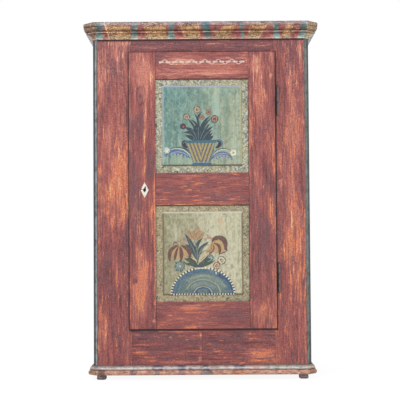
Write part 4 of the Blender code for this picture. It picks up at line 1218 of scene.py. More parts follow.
def stud_shell(centre: Place, radius: float, rise: float, way: int) -> Shell:
    """A low dome on a face that looks along Y: its height falls from the middle to the rim.

    Args:
        centre: The middle of its foot, in space.
        radius: Its radius.
        rise: How far it stands out.
        way: 1 for a face that looks along +Y, and -1 for one along -Y.

    Returns:
        The closed shell.
    """
    share = radius * np.array([1.0, 1.0, 0.85, 0.55, 0.2])[:, None]
    rise_at = way * rise * np.array([-0.5, 0.15, 0.55, 0.9, 1.0])[:, None]
    angle = np.linspace(0, 2 * math.pi, 12, endpoint=False) * -way
    rings = np.stack([share * np.cos(angle), np.repeat(rise_at, 12, 1), share * np.sin(angle)], -1)
    return Shell(rings + np.array(centre), closed_sweep(rings))


# Mouldings and feet


def curve(centre: Pair, radii: Pair, start: float, end: float, steps: int) -> list[Pair]:
    """Points of an elliptical arc, its angles in degrees."""
    angles = np.radians(np.linspace(start, end, steps + 1))
    return np.stack([centre[0] + radii[0] * np.cos(angles), centre[1] + radii[1] * np.sin(angles)], 1).tolist()


@dataclass
class Moulding:
    """A moulding that goes round the front, the canted corners and the sides, mitred at each turn."""

    prefix: str
    finish: Material
    back: float = 0.2715
    step: float = 0.003
    wobble: float = 0.00025

    def build(self) -> None:
        """Makes the six lengths: each is the profile carried from one mitre plane to the next."""
        low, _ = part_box(f"{self.prefix}_front_left")
        profile = np.array(self.profile(FRONT - low.y))
        for side, sign in SIDES:
            corners = np.array([(0.0, FRONT), (sign * (HALF_BODY - CANT), FRONT), (sign * HALF_BODY, FRONT + CANT),
                                (sign * HALF_BODY, self.back)])
            ways = np.diff(corners, axis=0)
            ways /= np.linalg.norm(ways, axis=1)[:, None]
            normals = np.stack([sign * ways[:, 1], -sign * ways[:, 0]], 1)
            turns = [(first + second) / (1 + first @ second) for first, second in zip(normals, normals[1:])]
            mitres = [normals[0], *turns, normals[-1]]
            for number, kind in enumerate(("front", "corner", "return")):
                start = corners[number] + ways[number] * HAIR / 2
                end = corners[number + 1] - ways[number] * (HAIR / 2 if number < 2 else 0.0)
                shell = self.length(profile, low.z, (start, end), mitres[number:number + 2], sign)
                name = f"{self.prefix}_{kind}_{side}"
                make_piece(f"{name}_painted", [shell], [self.finish], "carcase", 30.0, name)

    def length(self, loop: np.ndarray, bottom: float, ends: tuple[np.ndarray, np.ndarray],
               mitres: list[np.ndarray], sign: int) -> Shell:
        """One length of moulding: a straight blend of its two mitred end sections.

        Args:
            loop: The profile, outwards and upwards.
            bottom: The height of its foot.
            ends: Where it starts and ends on the body's outline.
            mitres: The outward directions of its two mitres.
            sign: The side of the body.

        Returns:
            The closed shell.
        """
        count = max(4, int(np.linalg.norm(ends[1] - ends[0]) / self.step))
        share = np.linspace(0, 1, count)[:, None, None]
        head, tail = (end + mitre * loop[:, :1] for end, mitre in zip(ends, mitres))
        up = np.repeat((bottom + loop[:, 1])[None], count, 0)
        rings = np.concatenate([head * (1 - share) + tail * share, up[..., None]], -1)
        faces = closed_sweep(rings)
        rings[..., 1] += self.wobble * ripple(rings, 0.05, 3.0 + sign, 0, 2.0)
        tint, wear = self.paint(rings, np.broadcast_to(loop, (*rings.shape[:2], 2)))
        return Shell(rings, faces if sign > 0 else flipped(faces), {"tint": tint, "wear": wear})

    def profile(self, out: float) -> list[Pair]:
        """The section from its foot outwards and up; each kind has its own."""
        raise NotImplementedError

    def paint(self, rings: np.ndarray, loop: np.ndarray) -> tuple[np.ndarray, np.ndarray]:
        """The colour and wear of each point; each kind has its own."""
        raise NotImplementedError


def lifted(colours: np.ndarray, light: np.ndarray) -> np.ndarray:
    """Colours times painted light, held back evenly where a channel would pass 0.97, so that no hue changes."""
    raised = colours * light[..., None]
    return raised / np.maximum(raised.max(-1, keepdims=True) / 0.97, 1.0)


# Colours of each stripe of the cornice at its foot, cove, bead, ovolo, neck and top, each with that member's
# painted light and shade, and how strongly it is covered with dark squiggles.
CORNICE_PLACES = (0.0, 0.24, 0.40, 0.62, 0.74, 0.86)
CORNICE_LIT_COLOURS = {name: [shade(*tone, squiggle) for tone in tones] for name, squiggle, *tones in (
    ("brown", 0.9, (162, 112, 88), (156, 118, 95), (132, 103, 90), (143, 114, 92), (133, 103, 88), (150, 121, 110)),
    ("side", 0.15, (242, 232, 238), (240, 230, 238), (230, 220, 230), (144, 112, 92), (140, 106, 88),
     (154, 121, 107)),
    ("tan", 0.8, (206, 172, 132), (202, 168, 126), (178, 144, 116), (192, 160, 122), (178, 144, 116),
     (192, 160, 140)),
    ("cream", 0.3, (244, 216, 176), (240, 206, 168), (220, 180, 146), (232, 200, 160), (232, 204, 176),
     (226, 206, 190)),
    ("blue", 0.3, (132, 160, 156), (116, 146, 142), (84, 104, 104), (66, 94, 90), (100, 124, 128), (146, 160, 172)),
    ("teal", 0.3, (96, 122, 118), (74, 104, 102), (62, 92, 92), (54, 96, 94), (80, 110, 116), (112, 128, 148)),
    ("red", 0.35, (172, 102, 104), (158, 84, 84), (136, 66, 64), (146, 76, 66), (152, 104, 106), (166, 136, 146)),
    ("ochre", 1.0, (255, 218, 180), (250, 200, 144), (186, 128, 90), (200, 150, 98), (186, 146, 124),
     (182, 154, 154)),
)}
# Where each stripe starts, in millimetres at the cornice's top and at its foot, and its colour.
CORNICE_LINES = (
    (-506, -517, "blue"), (-475, -483, "red"), (-474, -451, "cream"), (-467, -445, "ochre"), (-340, -347, "red"),
    (-329, -343, "blue"), (-303, -311, "red"), (-285, -267, "ochre"), (-167, -165, "red"), (-152, -161, "blue"),
    (-128, -129, "red"), (-118, -70, "ochre"), (-3, -2, "red"), (2, 24, "teal"), (44, 51, "red"),
    (138, 60, "ochre"), (190, 138, "red"), (192, 199, "blue"), (213, 214, "red"), (247, 229, "ochre"),
    (342, 289, "red"), (352, 360, "blue"), (376, 392, "red"), (424, 396, "ochre"), (465, 437, "red"),
    (495, 481, "blue"), (521, 516, "tan"),
)


@dataclass
class Cornice(Moulding):
    """The cornice: a cove, a bead, an ovolo and a rounded top, brushed with leaning stripes."""

    height: float = CORNICE_HEIGHT
    # Painted light: how much the colours are brightened at each height of the profile.
    light_places: tuple[float, ...] = (0.0, 0.10, 0.30, 0.45, 0.60, 0.74, 0.80, 1.0)
    light: tuple[float, ...] = (1.9, 1.85, 1.5, 1.4, 1.4, 1.45, 1.45, 1.5)
    # Painted light: every colour brightened by these factors.
    glow: Place = (1.09, 1.2, 1.19)
    # Painted shadow in each groove: its height on the profile, its width and its depth.
    groove_shadows: tuple[Place, ...] = ((0.315, 0.020, 0.55), (0.48, 0.045, 0.60), (0.725, 0.016, 0.45),
                                  (0.985, 0.03, 0.35))

    def profile(self, out: float) -> list[Pair]:
        """The section from its foot outwards and up, of arcs as the frame's cornice has them.

        Args:
            out: How far it reaches from the body.

        Returns:
            The section's points.
        """
        cove = curve((out - 0.02025, 0.003), (out - 0.02625, 0.0215), 180, 90, 14)
        bead = curve((out - 0.01625, 0.0300), (0.0045, 0.0055), -75, 75, 10)
        ovolo = curve((out - 0.014, 0.0565), (0.0125, 0.021), -90, 0, 12)
        groove = [[out - 0.0045, 0.0567], [out - 0.0045, 0.0595], [out - 0.001, 0.0597], [out, 0.0615]]
        nose = curve((out - 0.0075, self.height - 0.0075), (0.0075, 0.0075), 0, 90, 8)
        return [[HAIR, 0.0], [0.006, 0.0], *cove, *bead, *ovolo, *groove, *nose, [HAIR, self.height]]

    def paint(self, rings: np.ndarray, loop: np.ndarray) -> tuple[np.ndarray, np.ndarray]:
        """Stripes between slanted lines: a point's stripe is that of the last line that it is past.  Painted
        shadow, painted highlights and painted light by height are laid over them.

        Args:
            rings: The points in space.
            loop: Their places on the profile, outwards and upwards.

        Returns:
            Colours with alpha, and wear.
        """
        rise = np.clip(loop[..., 1] / self.height, 0, 1)
        stripes = {name: run_of(rise, CORNICE_PLACES, colours) for name, colours in CORNICE_LIT_COLOURS.items()}
        across = rings[..., 0] + 0.0030 * ripple(rings, 0.02, 8.0, 0, 1.0)
        tint = stripes["brown"]
        for top, bottom, colour in CORNICE_LINES:
            past = across > (bottom + (top - bottom) * rise) / 1000
            tint[past] = stripes[colour][past]
        side = np.clip((np.abs(rings[..., 0]) - HALF_BODY - loop[..., 0] + 0.0015) / 0.001, 0, 1)
        tint = blend(tint, stripes["side"], side)
        # Painted shadow in the grooves, and painted highlights on the bead and at the foot.
        shadow = np.max([depth * bell(rise, place, width) for place, width, depth in self.groove_shadows], 0)
        shadow = shadow * (1 - 0.6 * side * (rise < 0.5))
        glint = 0.6 * (bell(rise, 0.385, 0.022) + bell(rise, 0.03, 0.03)) * (1 - side)
        glint = glint * (0.8 + 0.5 * ripple(rings, 0.05, 5.0, 0, 1.0))
        colour = tint[..., :3] * (1 - shadow[..., None])
        colour = colour + np.array(shade(84, 40, 34)[:3]) * shadow[..., None] * 0.6
        colour = blend(colour, shade(220, 180, 164), glint)
        colour = blend(colour, shade(112, 110, 124), np.clip((rise - 0.90) / 0.06, 0, 1) * 0.6)
        # Painted light: colours brightened by glow and by height, most on the downward cove.
        tint[..., :3] = lifted(colour * self.glow, np.interp(rise, self.light_places, self.light))
        wear = 0.10 * bell(rise, 0.90, 0.08) + 0.05 * bell(rise, 0.12, 0.12) - 0.05 * bell(rise, 0.60, 0.1)
        return tint, wear - 0.3 * side + 0.05 * ripple(rings, 0.04, 9.0, 0, 1.0)


# Lengths of other colours on the base moulding: from and to, in millimetres, whether on the bead, and the colour.
BASE_LENGTHS = (
    (-248, -189, True, (84, 92, 118)), (-128, -76, True, (88, 98, 124)), (0, 36, True, (104, 112, 126)),
    (148, 211, True, (108, 118, 130)), (212, 300, True, (178, 150, 140)), (298, 500, True, (160, 160, 152)),
    (-600, -506, True, (140, 126, 116)), (506, 600, True, (158, 146, 124)),
    (-357, -331, False, (112, 112, 124)), (-237, -207, False, (116, 110, 118)), (-121, -80, False, (132, 100, 112)),
    (-14, 54, False, (140, 126, 130)), (150, 205, False, (220, 142, 100)), (-600, -512, False, (160, 124, 92)),
    (-512, -470, False, (112, 88, 82)), (512, 600, False, (158, 118, 96)),
)


@dataclass
class BaseMoulding(Moulding):
    """The base moulding: a round in tan and brown under a hollowed bead in grey cream."""

    height: float = BASE_HEIGHT
    radius: float = 0.012

    def profile(self, out: float) -> list[Pair]:
        """The section from its foot outwards and up: a round, a waist and a bead.

        Args:
            out: How far it reaches from the body.

        Returns:
            The section's points.
        """
        inner = out - self.radius
        round_below = curve((inner, self.radius), (self.radius, self.radius), -90, 75, 14)
        bead = curve((0.004, 0.026), (0.014, self.height - 0.028), 8, 90, 10)
        return [[HAIR, 0.0], *round_below, [inner + 0.001, 0.025], [0.018, 0.026], *bead, [0.004, self.height],
                [HAIR, self.height]]

    def paint(self, rings: np.ndarray, loop: np.ndarray) -> tuple[np.ndarray, np.ndarray]:
        """A bead with a painted highlight line over a round, both with short lengths of other colours.

        Args:
            rings: The points in space.
            loop: Their places on the profile, outwards and upwards.

        Returns:
            Colours with alpha, and wear.
        """
        rise = np.clip(loop[..., 1] / self.height, 0, 1)
        upper = np.clip((rise - 0.53) / 0.03, 0, 1)
        coats = {on_bead: np.zeros((*rise.shape, 4)) + tone
                 for on_bead, tone in ((False, shade(214, 164, 142)), (True, shade(166, 154, 150)))}
        across = rings[..., 0] * 1000 + 4 * ripple(rings, 0.015, 6.0, 0, 1.0)
        for start, end, on_bead, tone in BASE_LENGTHS:
            share = np.clip((across - start) / 8, 0, 1) * np.clip((end - across) / 8, 0, 1) * 0.85
            coats[on_bead] = blend(coats[on_bead], shade(*tone), share)
        # Painted highlight along the bead.
        glint = bell(rise, 0.74, 0.042) * (0.75 + 0.4 * ripple(rings, 0.06, 5.0, 0, 1.0))
        tint = blend(coats[False], blend(coats[True], shade(226, 222, 220), glint), upper)
        # Painted light: colours brightened, a little less at the very foot, with painted shade in the crease at the
        # waist; darker towards the bead's top.
        light = (1.6 - 3.0 * np.clip(0.10 - rise, 0, 0.1)) * (1 - 0.6 * bell(rise, 0.54, 0.035))
        tint[..., :3] = lifted(tint[..., :3], light * (1 - 0.6 * np.clip(rise - 0.86, 0, 0.14) / 0.14))
        tint = blend(tint, shade(150, 122, 104), np.clip((rings[..., 1] + 0.215) / 0.02, 0, 1))
        tint[..., 3] = 1 - 0.7 * upper
        return tint, 0.06 * ripple(rings, 0.03, 4.0, 0, 1.0) - 0.06 * upper


@dataclass
class Feet:
    """Stub feet: a block with a slight neck, a swelling below it and rounded lower edges."""

    finish: Material
    top: float = 0.0245
    squareness: float = 5.0
    shares: tuple[float, ...] = (0.0, 0.0, 0.06, 0.16, 0.30, 0.48, 0.62, 0.78, 1.0)
    widths: tuple[float, ...] = (0.80, 0.84, 0.93, 0.985, 1.0, 0.985, 0.955, 0.935, 0.935)

    def build(self) -> None:
        """Builds the four feet: rounded rectangles stacked with a width that follows the height."""
        angle = np.linspace(0, 2 * math.pi, 48, endpoint=False)
        turns = [np.sign(way) * np.abs(way) ** (2 / self.squareness) for way in (np.cos(angle), np.sin(angle))]
        widths, up = np.array(self.widths)[:, None], np.array(self.shares)[:, None]
        for node in (f"foot_{end}_{side}" for end in ("front", "back") for side, _ in SIDES):
            low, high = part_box(node)
            middle, half = (low + high) / 2, (high - low) / 2
            flat = [middle[axis] + half[axis] * widths * turns[axis] for axis in range(2)]
            rings = np.stack([*flat, np.repeat(self.top * up, 48, 1)], -1)
            # Painted highlight: a pale band round the middle of the height, carried in the wear value.
            wear = 0.35 * bell(rings[..., 2] / self.top, 0.45, 0.25) - 0.05
            shell = Shell(rings, closed_sweep(rings), {"wear": wear})
            make_piece(f"{node}_worn", [shell], [self.finish], "carcase", 60.0, node)


# The door


@dataclass
class Door:
    """The framed door: stiles, rails and the key hole's bore."""

    finishes: Palette
    rebate: float = 0.010
    lip_back: float = -0.2268
    bore_play: float = 1.02
    bore_reach: float = 0.004

    def build(self) -> None:
        """The stiles: rebated outside, square inside, with the rebate carried round their ends."""
        eases = [0.0026, 0.0014, 0.001, 0.001, 0.0005, 0.0008]
        for number, side in enumerate(("lock", "hinge")):
            node = f"door_{side}_stile"
            low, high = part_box(node)
            edge, inner, rebate = (low.x, high.x, self.rebate) if side == "lock" else (high.x, low.x, -self.rebate)
            corners = [(edge, low.y), (inner, low.y), (inner, high.y), (edge + rebate, high.y),
                       (edge + rebate, self.lip_back), (edge, self.lip_back)]
            board = Board(node, Grain.UPRIGHT, corners, low.z, high.z, 91.0 + number * 6, eases, 0.0018,
                          edge_wear=0.38, trim=self.rebate, trim_back=self.lip_back, **FINE)
            piece = board.build("door", "red_paint", self.finishes.red_door_upright, self.finishes.pine_upright)
            if side == "lock":
                self.bore_key_hole(piece)
        self.rails()

    def bore_key_hole(self, piece: bpy.types.Object) -> None:
        """Cuts the key hole through the stile.

        Args:
            piece: The lock stile.
        """
        outline = key_hole_outline(KEY_HOLE_RADIUS * self.bore_play, 36)
        centre = key_hole_centre()
        low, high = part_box("door_lock_stile")
        rings = np.zeros((2, len(outline), 3))
        rings[..., 0], rings[..., 2] = centre[0] + outline[:, 0], centre[1] + outline[:, 1]
        rings[..., 1] = [[low.y - self.bore_reach], [high.y + self.bore_reach]]
        mesh = bpy.data.meshes.new("key_hole_cutter")
        mesh.from_pydata(rings.reshape(-1, 3).tolist(), [], flipped(closed_sweep(rings)))
        cutter = bpy.data.objects.new("key_hole_cutter", mesh)
        bpy.context.scene.collection.objects.link(cutter)
        modifier = piece.modifiers.new("key_hole", "BOOLEAN")
        modifier.operation, modifier.object = "DIFFERENCE", cutter
        graph = bpy.context.evaluated_depsgraph_get()
        cut = bpy.data.meshes.new_from_object(piece.evaluated_get(graph), preserve_all_data_layers=True,
                                              depsgraph=graph)
        piece.modifiers.clear()
        piece.data = cut
        bpy.data.objects.remove(cutter)

    def rails(self) -> None:
        """The three rails between the stiles; the outer two carry the rebate."""
        left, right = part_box("door_lock_stile")[1].x + HAIR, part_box("door_hinge_stile")[0].x - HAIR
        for number, which in enumerate(("bottom", "lock", "top")):
            node = f"door_{which}_rail"
            low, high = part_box(node)
            front, back, lip = low.y, high.y, self.lip_back
            corners, ease = rectangle((front, back), (low.z, high.z)), 0.0014
            if which == "bottom":
                step = low.z + self.rebate
                corners = [(front, low.z), (lip, low.z), (lip, step), (back, step), (back, high.z), (front, high.z)]
                ease = [0.0022, 0.0005, 0.0005, 0.001, 0.001, 0.0014]
            elif which == "top":
                step = high.z - self.rebate
                corners = [(front, low.z), (back, low.z), (back, step), (lip, step), (lip, high.z), (front, high.z)]
                ease = [0.0014, 0.001, 0.001, 0.0005, 0.0005, 0.0026]
            board = Board(node, Grain.ACROSS, corners, left, right, 103.0 + number * 5, ease, edge_wear=0.34,
                          **FINE)
            board.build("door", "red_paint", self.finishes.red_door_across, self.finishes.pine_across)


KEY_HOLE_RADIUS = 0.0048
KEY_SLOT_RISE = 0.016
KEY_SLOT_WIDTH = 0.0042
KEY_SLOT_LEAN = 0.005


def key_hole_centre() -> Pair:
    """The round hole's middle, as x and z: that of the plate."""
    low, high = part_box("escutcheon")
    return (low.x + high.x) / 2, (low.z + high.z) / 2


def key_hole_outline(radius: float, count: int) -> np.ndarray:
    """The key hole: the distance out is the farther of a circle and an upright, leaning slot.

    Args:
        radius: The round hole's radius.
        count: How many points.

    Returns:
        Points about the round hole's middle, anticlockwise from the right.
    """
    angle = np.linspace(0, 2 * math.pi, count, endpoint=False)
    away = angle - math.atan2(KEY_SLOT_RISE, KEY_SLOT_LEAN)
    side = KEY_SLOT_WIDTH / 2 / np.maximum(np.abs(np.sin(away)), 1e-6)
    tip = math.hypot(KEY_SLOT_RISE, KEY_SLOT_LEAN) / np.maximum(np.cos(away), 0.2)
    slot = np.where(np.cos(away) > 0.2, np.minimum(side, tip), 0.0)
    return np.maximum(radius, slot)[:, None] * np.stack([np.cos(angle), np.sin(angle)], 1)


@dataclass
class Panel:
    """A raised and fielded panel: the height steps with the distance to the nearest side."""

    node: str
    slot: str
    coats: list[Material]
    tongue: float = 0.0084
    margin: float = 0.033
    margin_lines: Pair = (0.011, 0.022)
    slope: float = 0.003
    easing: float = 0.0012
    margin_rise: float = 0.002
    field_rise: float = 0.004

    def build(self) -> None:
        """Makes the panel as a closed slab whose face follows the profile, in its three coats."""
        low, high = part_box(self.node)
        brow = self.tongue + self.margin
        crest = brow + self.slope
        inward = np.array([0, self.tongue, *(self.tongue + line for line in self.margin_lines), brow - self.easing,
                           brow, brow + self.slope / 2, crest, crest + self.easing])
        lines = []
        for first, last in ((low.x, high.x), (low.z, high.z)):
            middle = np.linspace(first + inward[-1], last - inward[-1], 26)[1:-1]
            lines.append(np.concatenate([first + inward, middle, last - inward[::-1]]))
        across, up = np.meshgrid(*lines)
        away = self.nearest(across, up, low, high)
        steps = [0, self.tongue, brow, brow + self.slope / 2, crest, crest + self.easing]
        full = self.margin_rise + self.field_rise
        rises = [0, 0, self.margin_rise - 0.0006, self.margin_rise + self.field_rise * 0.62, full - 0.0003, full]
        front = np.stack([across, low.y + full - np.interp(away, steps, rises), up], -1)
        front[..., 1] += 0.00006 * (1 + ripple(front, 0.08, 5.0, 2, 5.0)) * (away > self.tongue)
        piece = make_piece(f"{self.node}_painted", [Shell(*slab(front, high.y))], self.coats, "door",
                           25.0, self.node)
        middles = face_values(piece, "center")
        coat = (self.nearest(middles[:, 0], middles[:, 2], low, high) < brow).astype(np.int32)
        coat[middles[:, 1] > high.y - HAIR] = 2
        piece.data.polygons.foreach_set("material_index", coat)

    def nearest(self, across: np.ndarray, up: np.ndarray, low: Vector, high: Vector) -> np.ndarray:
        """The distance of points of the face to the nearest of the panel's four sides."""
        return np.minimum(np.minimum(across - low.x, high.x - across), np.minimum(up - low.z, high.z - up))


# Ironwork of the lock


@dataclass
class Plate:
    """The diamond plate round the key hole: rings that change from the hole's outline to the diamond."""

    finishes: Palette
    count: int = 96
    crack: float = 168.0
    shares: tuple[float, ...] = (0.0, 0.0, 0.05, 0.3, 0.6, 0.9, 0.97, 1.0, 1.0)
    eased: tuple[float, ...] = (0.0004, 0.0, 0.0, 0.0, 0.0, 0.0002, 0.0006)
    nails: tuple[Pair, ...] = ((0.001, 0.032), (0.013, 0.007), (-0.002, -0.025), (-0.013, 0.004))
    nail_radius: float = 0.0012
    nail_rise: float = 0.0006

    def build(self) -> None:
        """Builds the plate, darkened round the hole by dirt and by painted shade and cracked at one angle, and its
        nails.
        """
        low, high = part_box("escutcheon")
        centre = key_hole_centre()
        angle = np.linspace(0, 2 * math.pi, self.count, endpoint=False)
        half_wide, half_high = (high.x - low.x) / 2, (high.z - low.z) / 2
        reach = 1 / (np.abs(np.cos(angle)) / half_wide + np.abs(np.sin(angle)) / half_high)
        outer = reach[:, None] * np.stack([np.cos(angle), np.sin(angle)], 1)
        shares = np.array(self.shares)
        face, back = low.y, high.y
        flat = blend(key_hole_outline(KEY_HOLE_RADIUS, self.count)[None], outer, shares[:, None])
        rings = np.zeros((len(shares), self.count, 3))
        rings[..., 0], rings[..., 2] = centre[0] + flat[..., 0], centre[1] + flat[..., 1]
        rings[..., 1] = np.array([back, *(face + drop for drop in self.eased), back])[:, None]
        here = np.arange(self.count)
        last, after = (len(shares) - 1) * self.count, np.roll(here, -1)
        faces = skin(rings) + np.stack([last + here, last + after, after, here], 1).tolist()
        # Darkening towards the hole is dirt and painted shade that makes the hole look deeper; that at the rim is
        # dirt.
        wear = np.interp(shares, [0, 0.12, 0.26, 0.8, 1.0], [1.7, 0.9, 0.0, 0.0, 0.45])[:, None]
        turned = np.mod(angle - math.radians(self.crack) + math.pi, 2 * math.pi) - math.pi
        shell = Shell(rings, flipped(faces), {"wear": wear + 1.2 * bell(turned, 0.0, 0.10)})
        make_piece("key_plate", [shell], [self.finishes.plate], "door", 35.0, "escutcheon")
        studs = [stud_shell((centre[0] + x, face, centre[1] + z), self.nail_radius, self.nail_rise, -1)
                 for x, z in self.nails]
        make_piece("key_plate_nails", studs, [self.finishes.iron], "door")


# Painted ornament

# Colours of each painting: red, green and blue as seen, and how much is rubbed off.
TEAL_COLOURS = {
    "slate": (62, 76, 84, 0.10), "dark": (70, 58, 72, 0.12), "pale": (122, 140, 148, 0.2),
    "scroll": (98, 114, 156, 0.25), "soft": (164, 178, 196, 0.3), "white": (216, 224, 208, 0.2),
    "teal": (74, 114, 128, 0.15), "band": (96, 128, 142, 0.25), "ochre": (184, 166, 112, 0.2),
    "grey": (112, 110, 116, 0.3), "rose": (122, 90, 82, 0.15), "pink": (176, 140, 120, 0.25),
    "red": (98, 54, 66, 0.1), "cream": (194, 176, 146, 0.25), "star": (234, 238, 210, 0.1),
}
CREAM_COLOURS = {
    "leaf": (78, 90, 96, 0.12), "moss": (80, 94, 82, 0.12), "soft": (126, 142, 130, 0.25),
    "cream": (220, 206, 174, 0.15), "rust": (148, 106, 86, 0.2), "brown": (116, 86, 78, 0.15),
    "tan": (196, 164, 120, 0.15), "tulip": (184, 154, 120, 0.25), "pink": (214, 186, 158, 0.2),
    "blue": (140, 162, 156, 0.2), "sky": (86, 116, 138, 0.25), "deep": (64, 88, 128, 0.2),
    "water": (104, 125, 126, 0.25), "grey": (128, 146, 142, 0.35), "olive": (158, 164, 140, 0.35),
    "white": (240, 236, 216, 0.05), "black": (60, 54, 54, 0.05),
}
# Strokes: colour, greatest width, how pointed the ends are, and the x and z of the places on the way, in
# millimetres right of and above the middle of the field's foot.
URN_STROKES = (
    ("scroll", 17.3, 0.6, -177, 39, -165, 65, -133, 71, -97, 64, -57, 31),
    ("scroll", 14.7, 0.6, 44, 27, 62, 48, 95, 61, 125, 54, 149, 30),
    ("soft", 4.0, 0.4, -157, 60, -123, 68, -90, 61, -67, 44),
    ("soft", 3.7, 0.4, 57, 41, 85, 58, 112, 58, 132, 48),
    ("white", 2.7, 0.3, -157, 77, -123, 85, -90, 77, -61, 49),
    ("slate", 2.7, 0.3, -153, 81, -120, 90, -87, 82, -59, 56),
    ("white", 2.7, 0.3, 57, 51, 79, 73, 106, 79, 135, 71), ("slate", 3.0, 0.3, 57, 58, 79, 78, 106, 83, 135, 76),
    ("dark", 7.5, 0.3, -75, 87, -90, 96, -97, 111, -88, 121, -77, 117),
    ("dark", 15.0, 0.7, -85, 116, -86, 102, -70, 87), ("slate", 4.3, 0.6, -98, 97, -83, 84, -65, 72, -60, 61),
    ("band", 12.0, 0.3, 70, 90, 90, 98, 96, 112, 86, 124, 72, 120),
    ("dark", 7.0, 0.3, 64, 86, 84, 94, 90, 107, 82, 117, 71, 114), ("dark", 14.0, 0.7, 80, 114, 82, 99, 64, 86),
)
LEAF_STROKES = (
    ("slate", 15.3, 0.9, -43, 123, -60, 140, -82, 148), ("slate", 13.3, 0.9, -40, 127, -56, 159, -90, 164),
    ("slate", 20.0, 0.9, -35, 127, -50, 167, -85, 188), ("slate", 14.7, 0.9, -23, 133, -35, 177, -23, 207),
    ("slate", 8.7, 0.7, -33, 160, -43, 197, -71, 230), ("slate", 10.0, 0.8, -19, 160, -26, 200, -56, 226),
    ("slate", 8.0, 0.6, -19, 160, -20, 220, -39, 260), ("slate", 7.3, 0.7, -21, 207, -17, 243, 0, 263),
    ("slate", 11.3, 0.9, -15, 160, 10, 213, 40, 243), ("slate", 10.0, 0.9, -12, 133, 10, 193, 45, 233),
    ("slate", 11.3, 0.9, -7, 127, 13, 173, 39, 206), ("slate", 13.3, 0.9, 0, 125, 23, 166, 54, 192),
    ("slate", 11.3, 0.9, 3, 124, 26, 153, 48, 174), ("slate", 13.3, 0.9, 6, 123, 30, 143, 51, 160),
    ("slate", 14.0, 0.9, 10, 123, 33, 131, 56, 148), ("slate", 11.3, 0.9, -50, 123, -4, 132, 48, 126),
    ("slate", 30.0, 0.5, -40, 132, -17, 160, -13, 193), ("slate", 36.7, 0.5, -23, 130, 7, 150, 27, 166),
    ("pale", 2.0, 0.4, -27, 127, -38, 160, -56, 180), ("pale", 2.0, 0.4, -17, 127, -19, 160, -16, 190),
    ("pale", 2.0, 0.4, -9, 127, 7, 167, 27, 193), ("pale", 2.0, 0.4, 1, 127, 20, 153, 40, 176),
    ("pale", 1.7, 0.4, -34, 127, -50, 150, -66, 160), ("pale", 5.0, 0.7, 58, 203, 66, 198, 61, 189),
    ("pale", 4.4, 0.7, 55, 181, 63, 183, 62, 172), ("pale", 4.4, 0.7, 55, 158, 62, 162, 61, 150),
)
MOUND_STROKES = (
    ("leaf", 20.7, 0.9, -24, 150, -47, 223, -88, 298), ("leaf", 15.3, 0.8, -26, 153, -44, 203, -86, 248),
    ("leaf", 13.3, 0.8, -31, 180, -47, 206, -73, 223), ("leaf", 14.0, 0.8, -31, 196, -27, 242, 1, 279),
    ("leaf", 16.7, 0.7, -26, 153, -14, 216, 29, 256), ("soft", 6.0, 0.7, -22, 176, -7, 219, 23, 244),
    ("soft", 3.0, 0.6, -30, 176, -46, 220, -76, 276), ("moss", 20.7, 0.8, -26, 142, -54, 163, -91, 174),
    ("moss", 15.3, 0.8, -28, 139, -54, 147, -80, 152), ("moss", 20.0, 0.8, -23, 142, 9, 163, 40, 175),
    ("moss", 16.7, 0.8, -21, 139, 12, 147, 53, 161), ("moss", 9.0, 0.8, -40, 150, -56, 172, -76, 190),
    ("moss", 8.0, 0.8, -50, 146, -70, 146, -94, 162), ("moss", 9.0, 0.8, -6, 150, 14, 174, 28, 192),
    ("moss", 8.0, 0.8, 10, 148, 34, 152, 58, 168), ("leaf", 11.3, 0.5, -47, 134, -24, 139, 5, 134),
    ("soft", 4.0, 0.4, -27, 163, -30, 223, -42, 266), ("cream", 8.7, 0.6, -27, 162, -50, 180, -73, 202),
    ("rust", 3.3, 0.6, -44, 177, -54, 185, -62, 195), ("cream", 11.3, 0.6, -18, 155, 2, 180, 22, 201),
    ("rust", 3.3, 0.6, -13, 163, -1, 176, 12, 189), ("rust", 3.3, 0.4, -21, 170, -14, 193, 16, 216),
    ("brown", 20.0, 0.7, -115, 240, -153, 220, -160, 160), ("tan", 11.3, 0.7, -118, 233, -142, 210, -148, 171),
    ("brown", 14.0, 0.7, -116, 236, -131, 204, -137, 164), ("tan", 11.3, 0.7, -116, 233, -120, 200, -128, 166),
    ("brown", 18.7, 0.7, -113, 236, -105, 200, -108, 162), ("brown", 20.7, 0.7, -110, 239, -73, 220, -63, 173),
    ("tan", 10.7, 0.7, -106, 233, -88, 207, -79, 174), ("brown", 4.0, 0.4, -144, 241, -139, 255, -116, 239),
    ("tan", 5.3, 0.6, -138, 239, -131, 247, -118, 237),
    ("brown", 26.0, 0.6, 48, 252, 76, 276, 106, 259, 111, 226, 121, 212),
    ("tan", 15.3, 0.7, 56, 254, 79, 260, 95, 235, 103, 204),
    ("brown", 15.3, 0.7, 52, 249, 72, 242, 82, 215, 78, 192),
    ("tan", 14.7, 0.7, 49, 245, 62, 235, 69, 215, 62, 199),
    ("rust", 19.0, 0.6, 44, 246, 49, 229, 40, 209, 33, 194),
    ("tan", 21.0, 0.6, 42, 247, 41, 232, 29, 216, 11, 216),
    ("rust", 4.0, 0.4, 41, 244, 44, 229, 32, 212, 16, 212), ("brown", 4.0, 0.5, 78, 196, 98, 203, 120, 212),
    ("tulip", 22.0, 0.7, -40, 267, -63, 289, -69, 318), ("tulip", 20.0, 0.7, -38, 266, -45, 295, -49, 313),
    ("tulip", 22.0, 0.7, -37, 266, -25, 295, -26, 336), ("tulip", 20.7, 0.7, -37, 266, -12, 282, 6, 309),
    ("tulip", 20.0, 0.7, -37, 266, -20, 289, -8, 312), ("rust", 2.7, 0.4, -47, 276, -60, 296, -63, 312),
    ("rust", 2.7, 0.4, -42, 272, -43, 295, -30, 328), ("rust", 2.7, 0.4, -33, 276, -30, 295, -15, 308),
    ("rust", 2.7, 0.4, -30, 272, -15, 282, 0, 302),
)


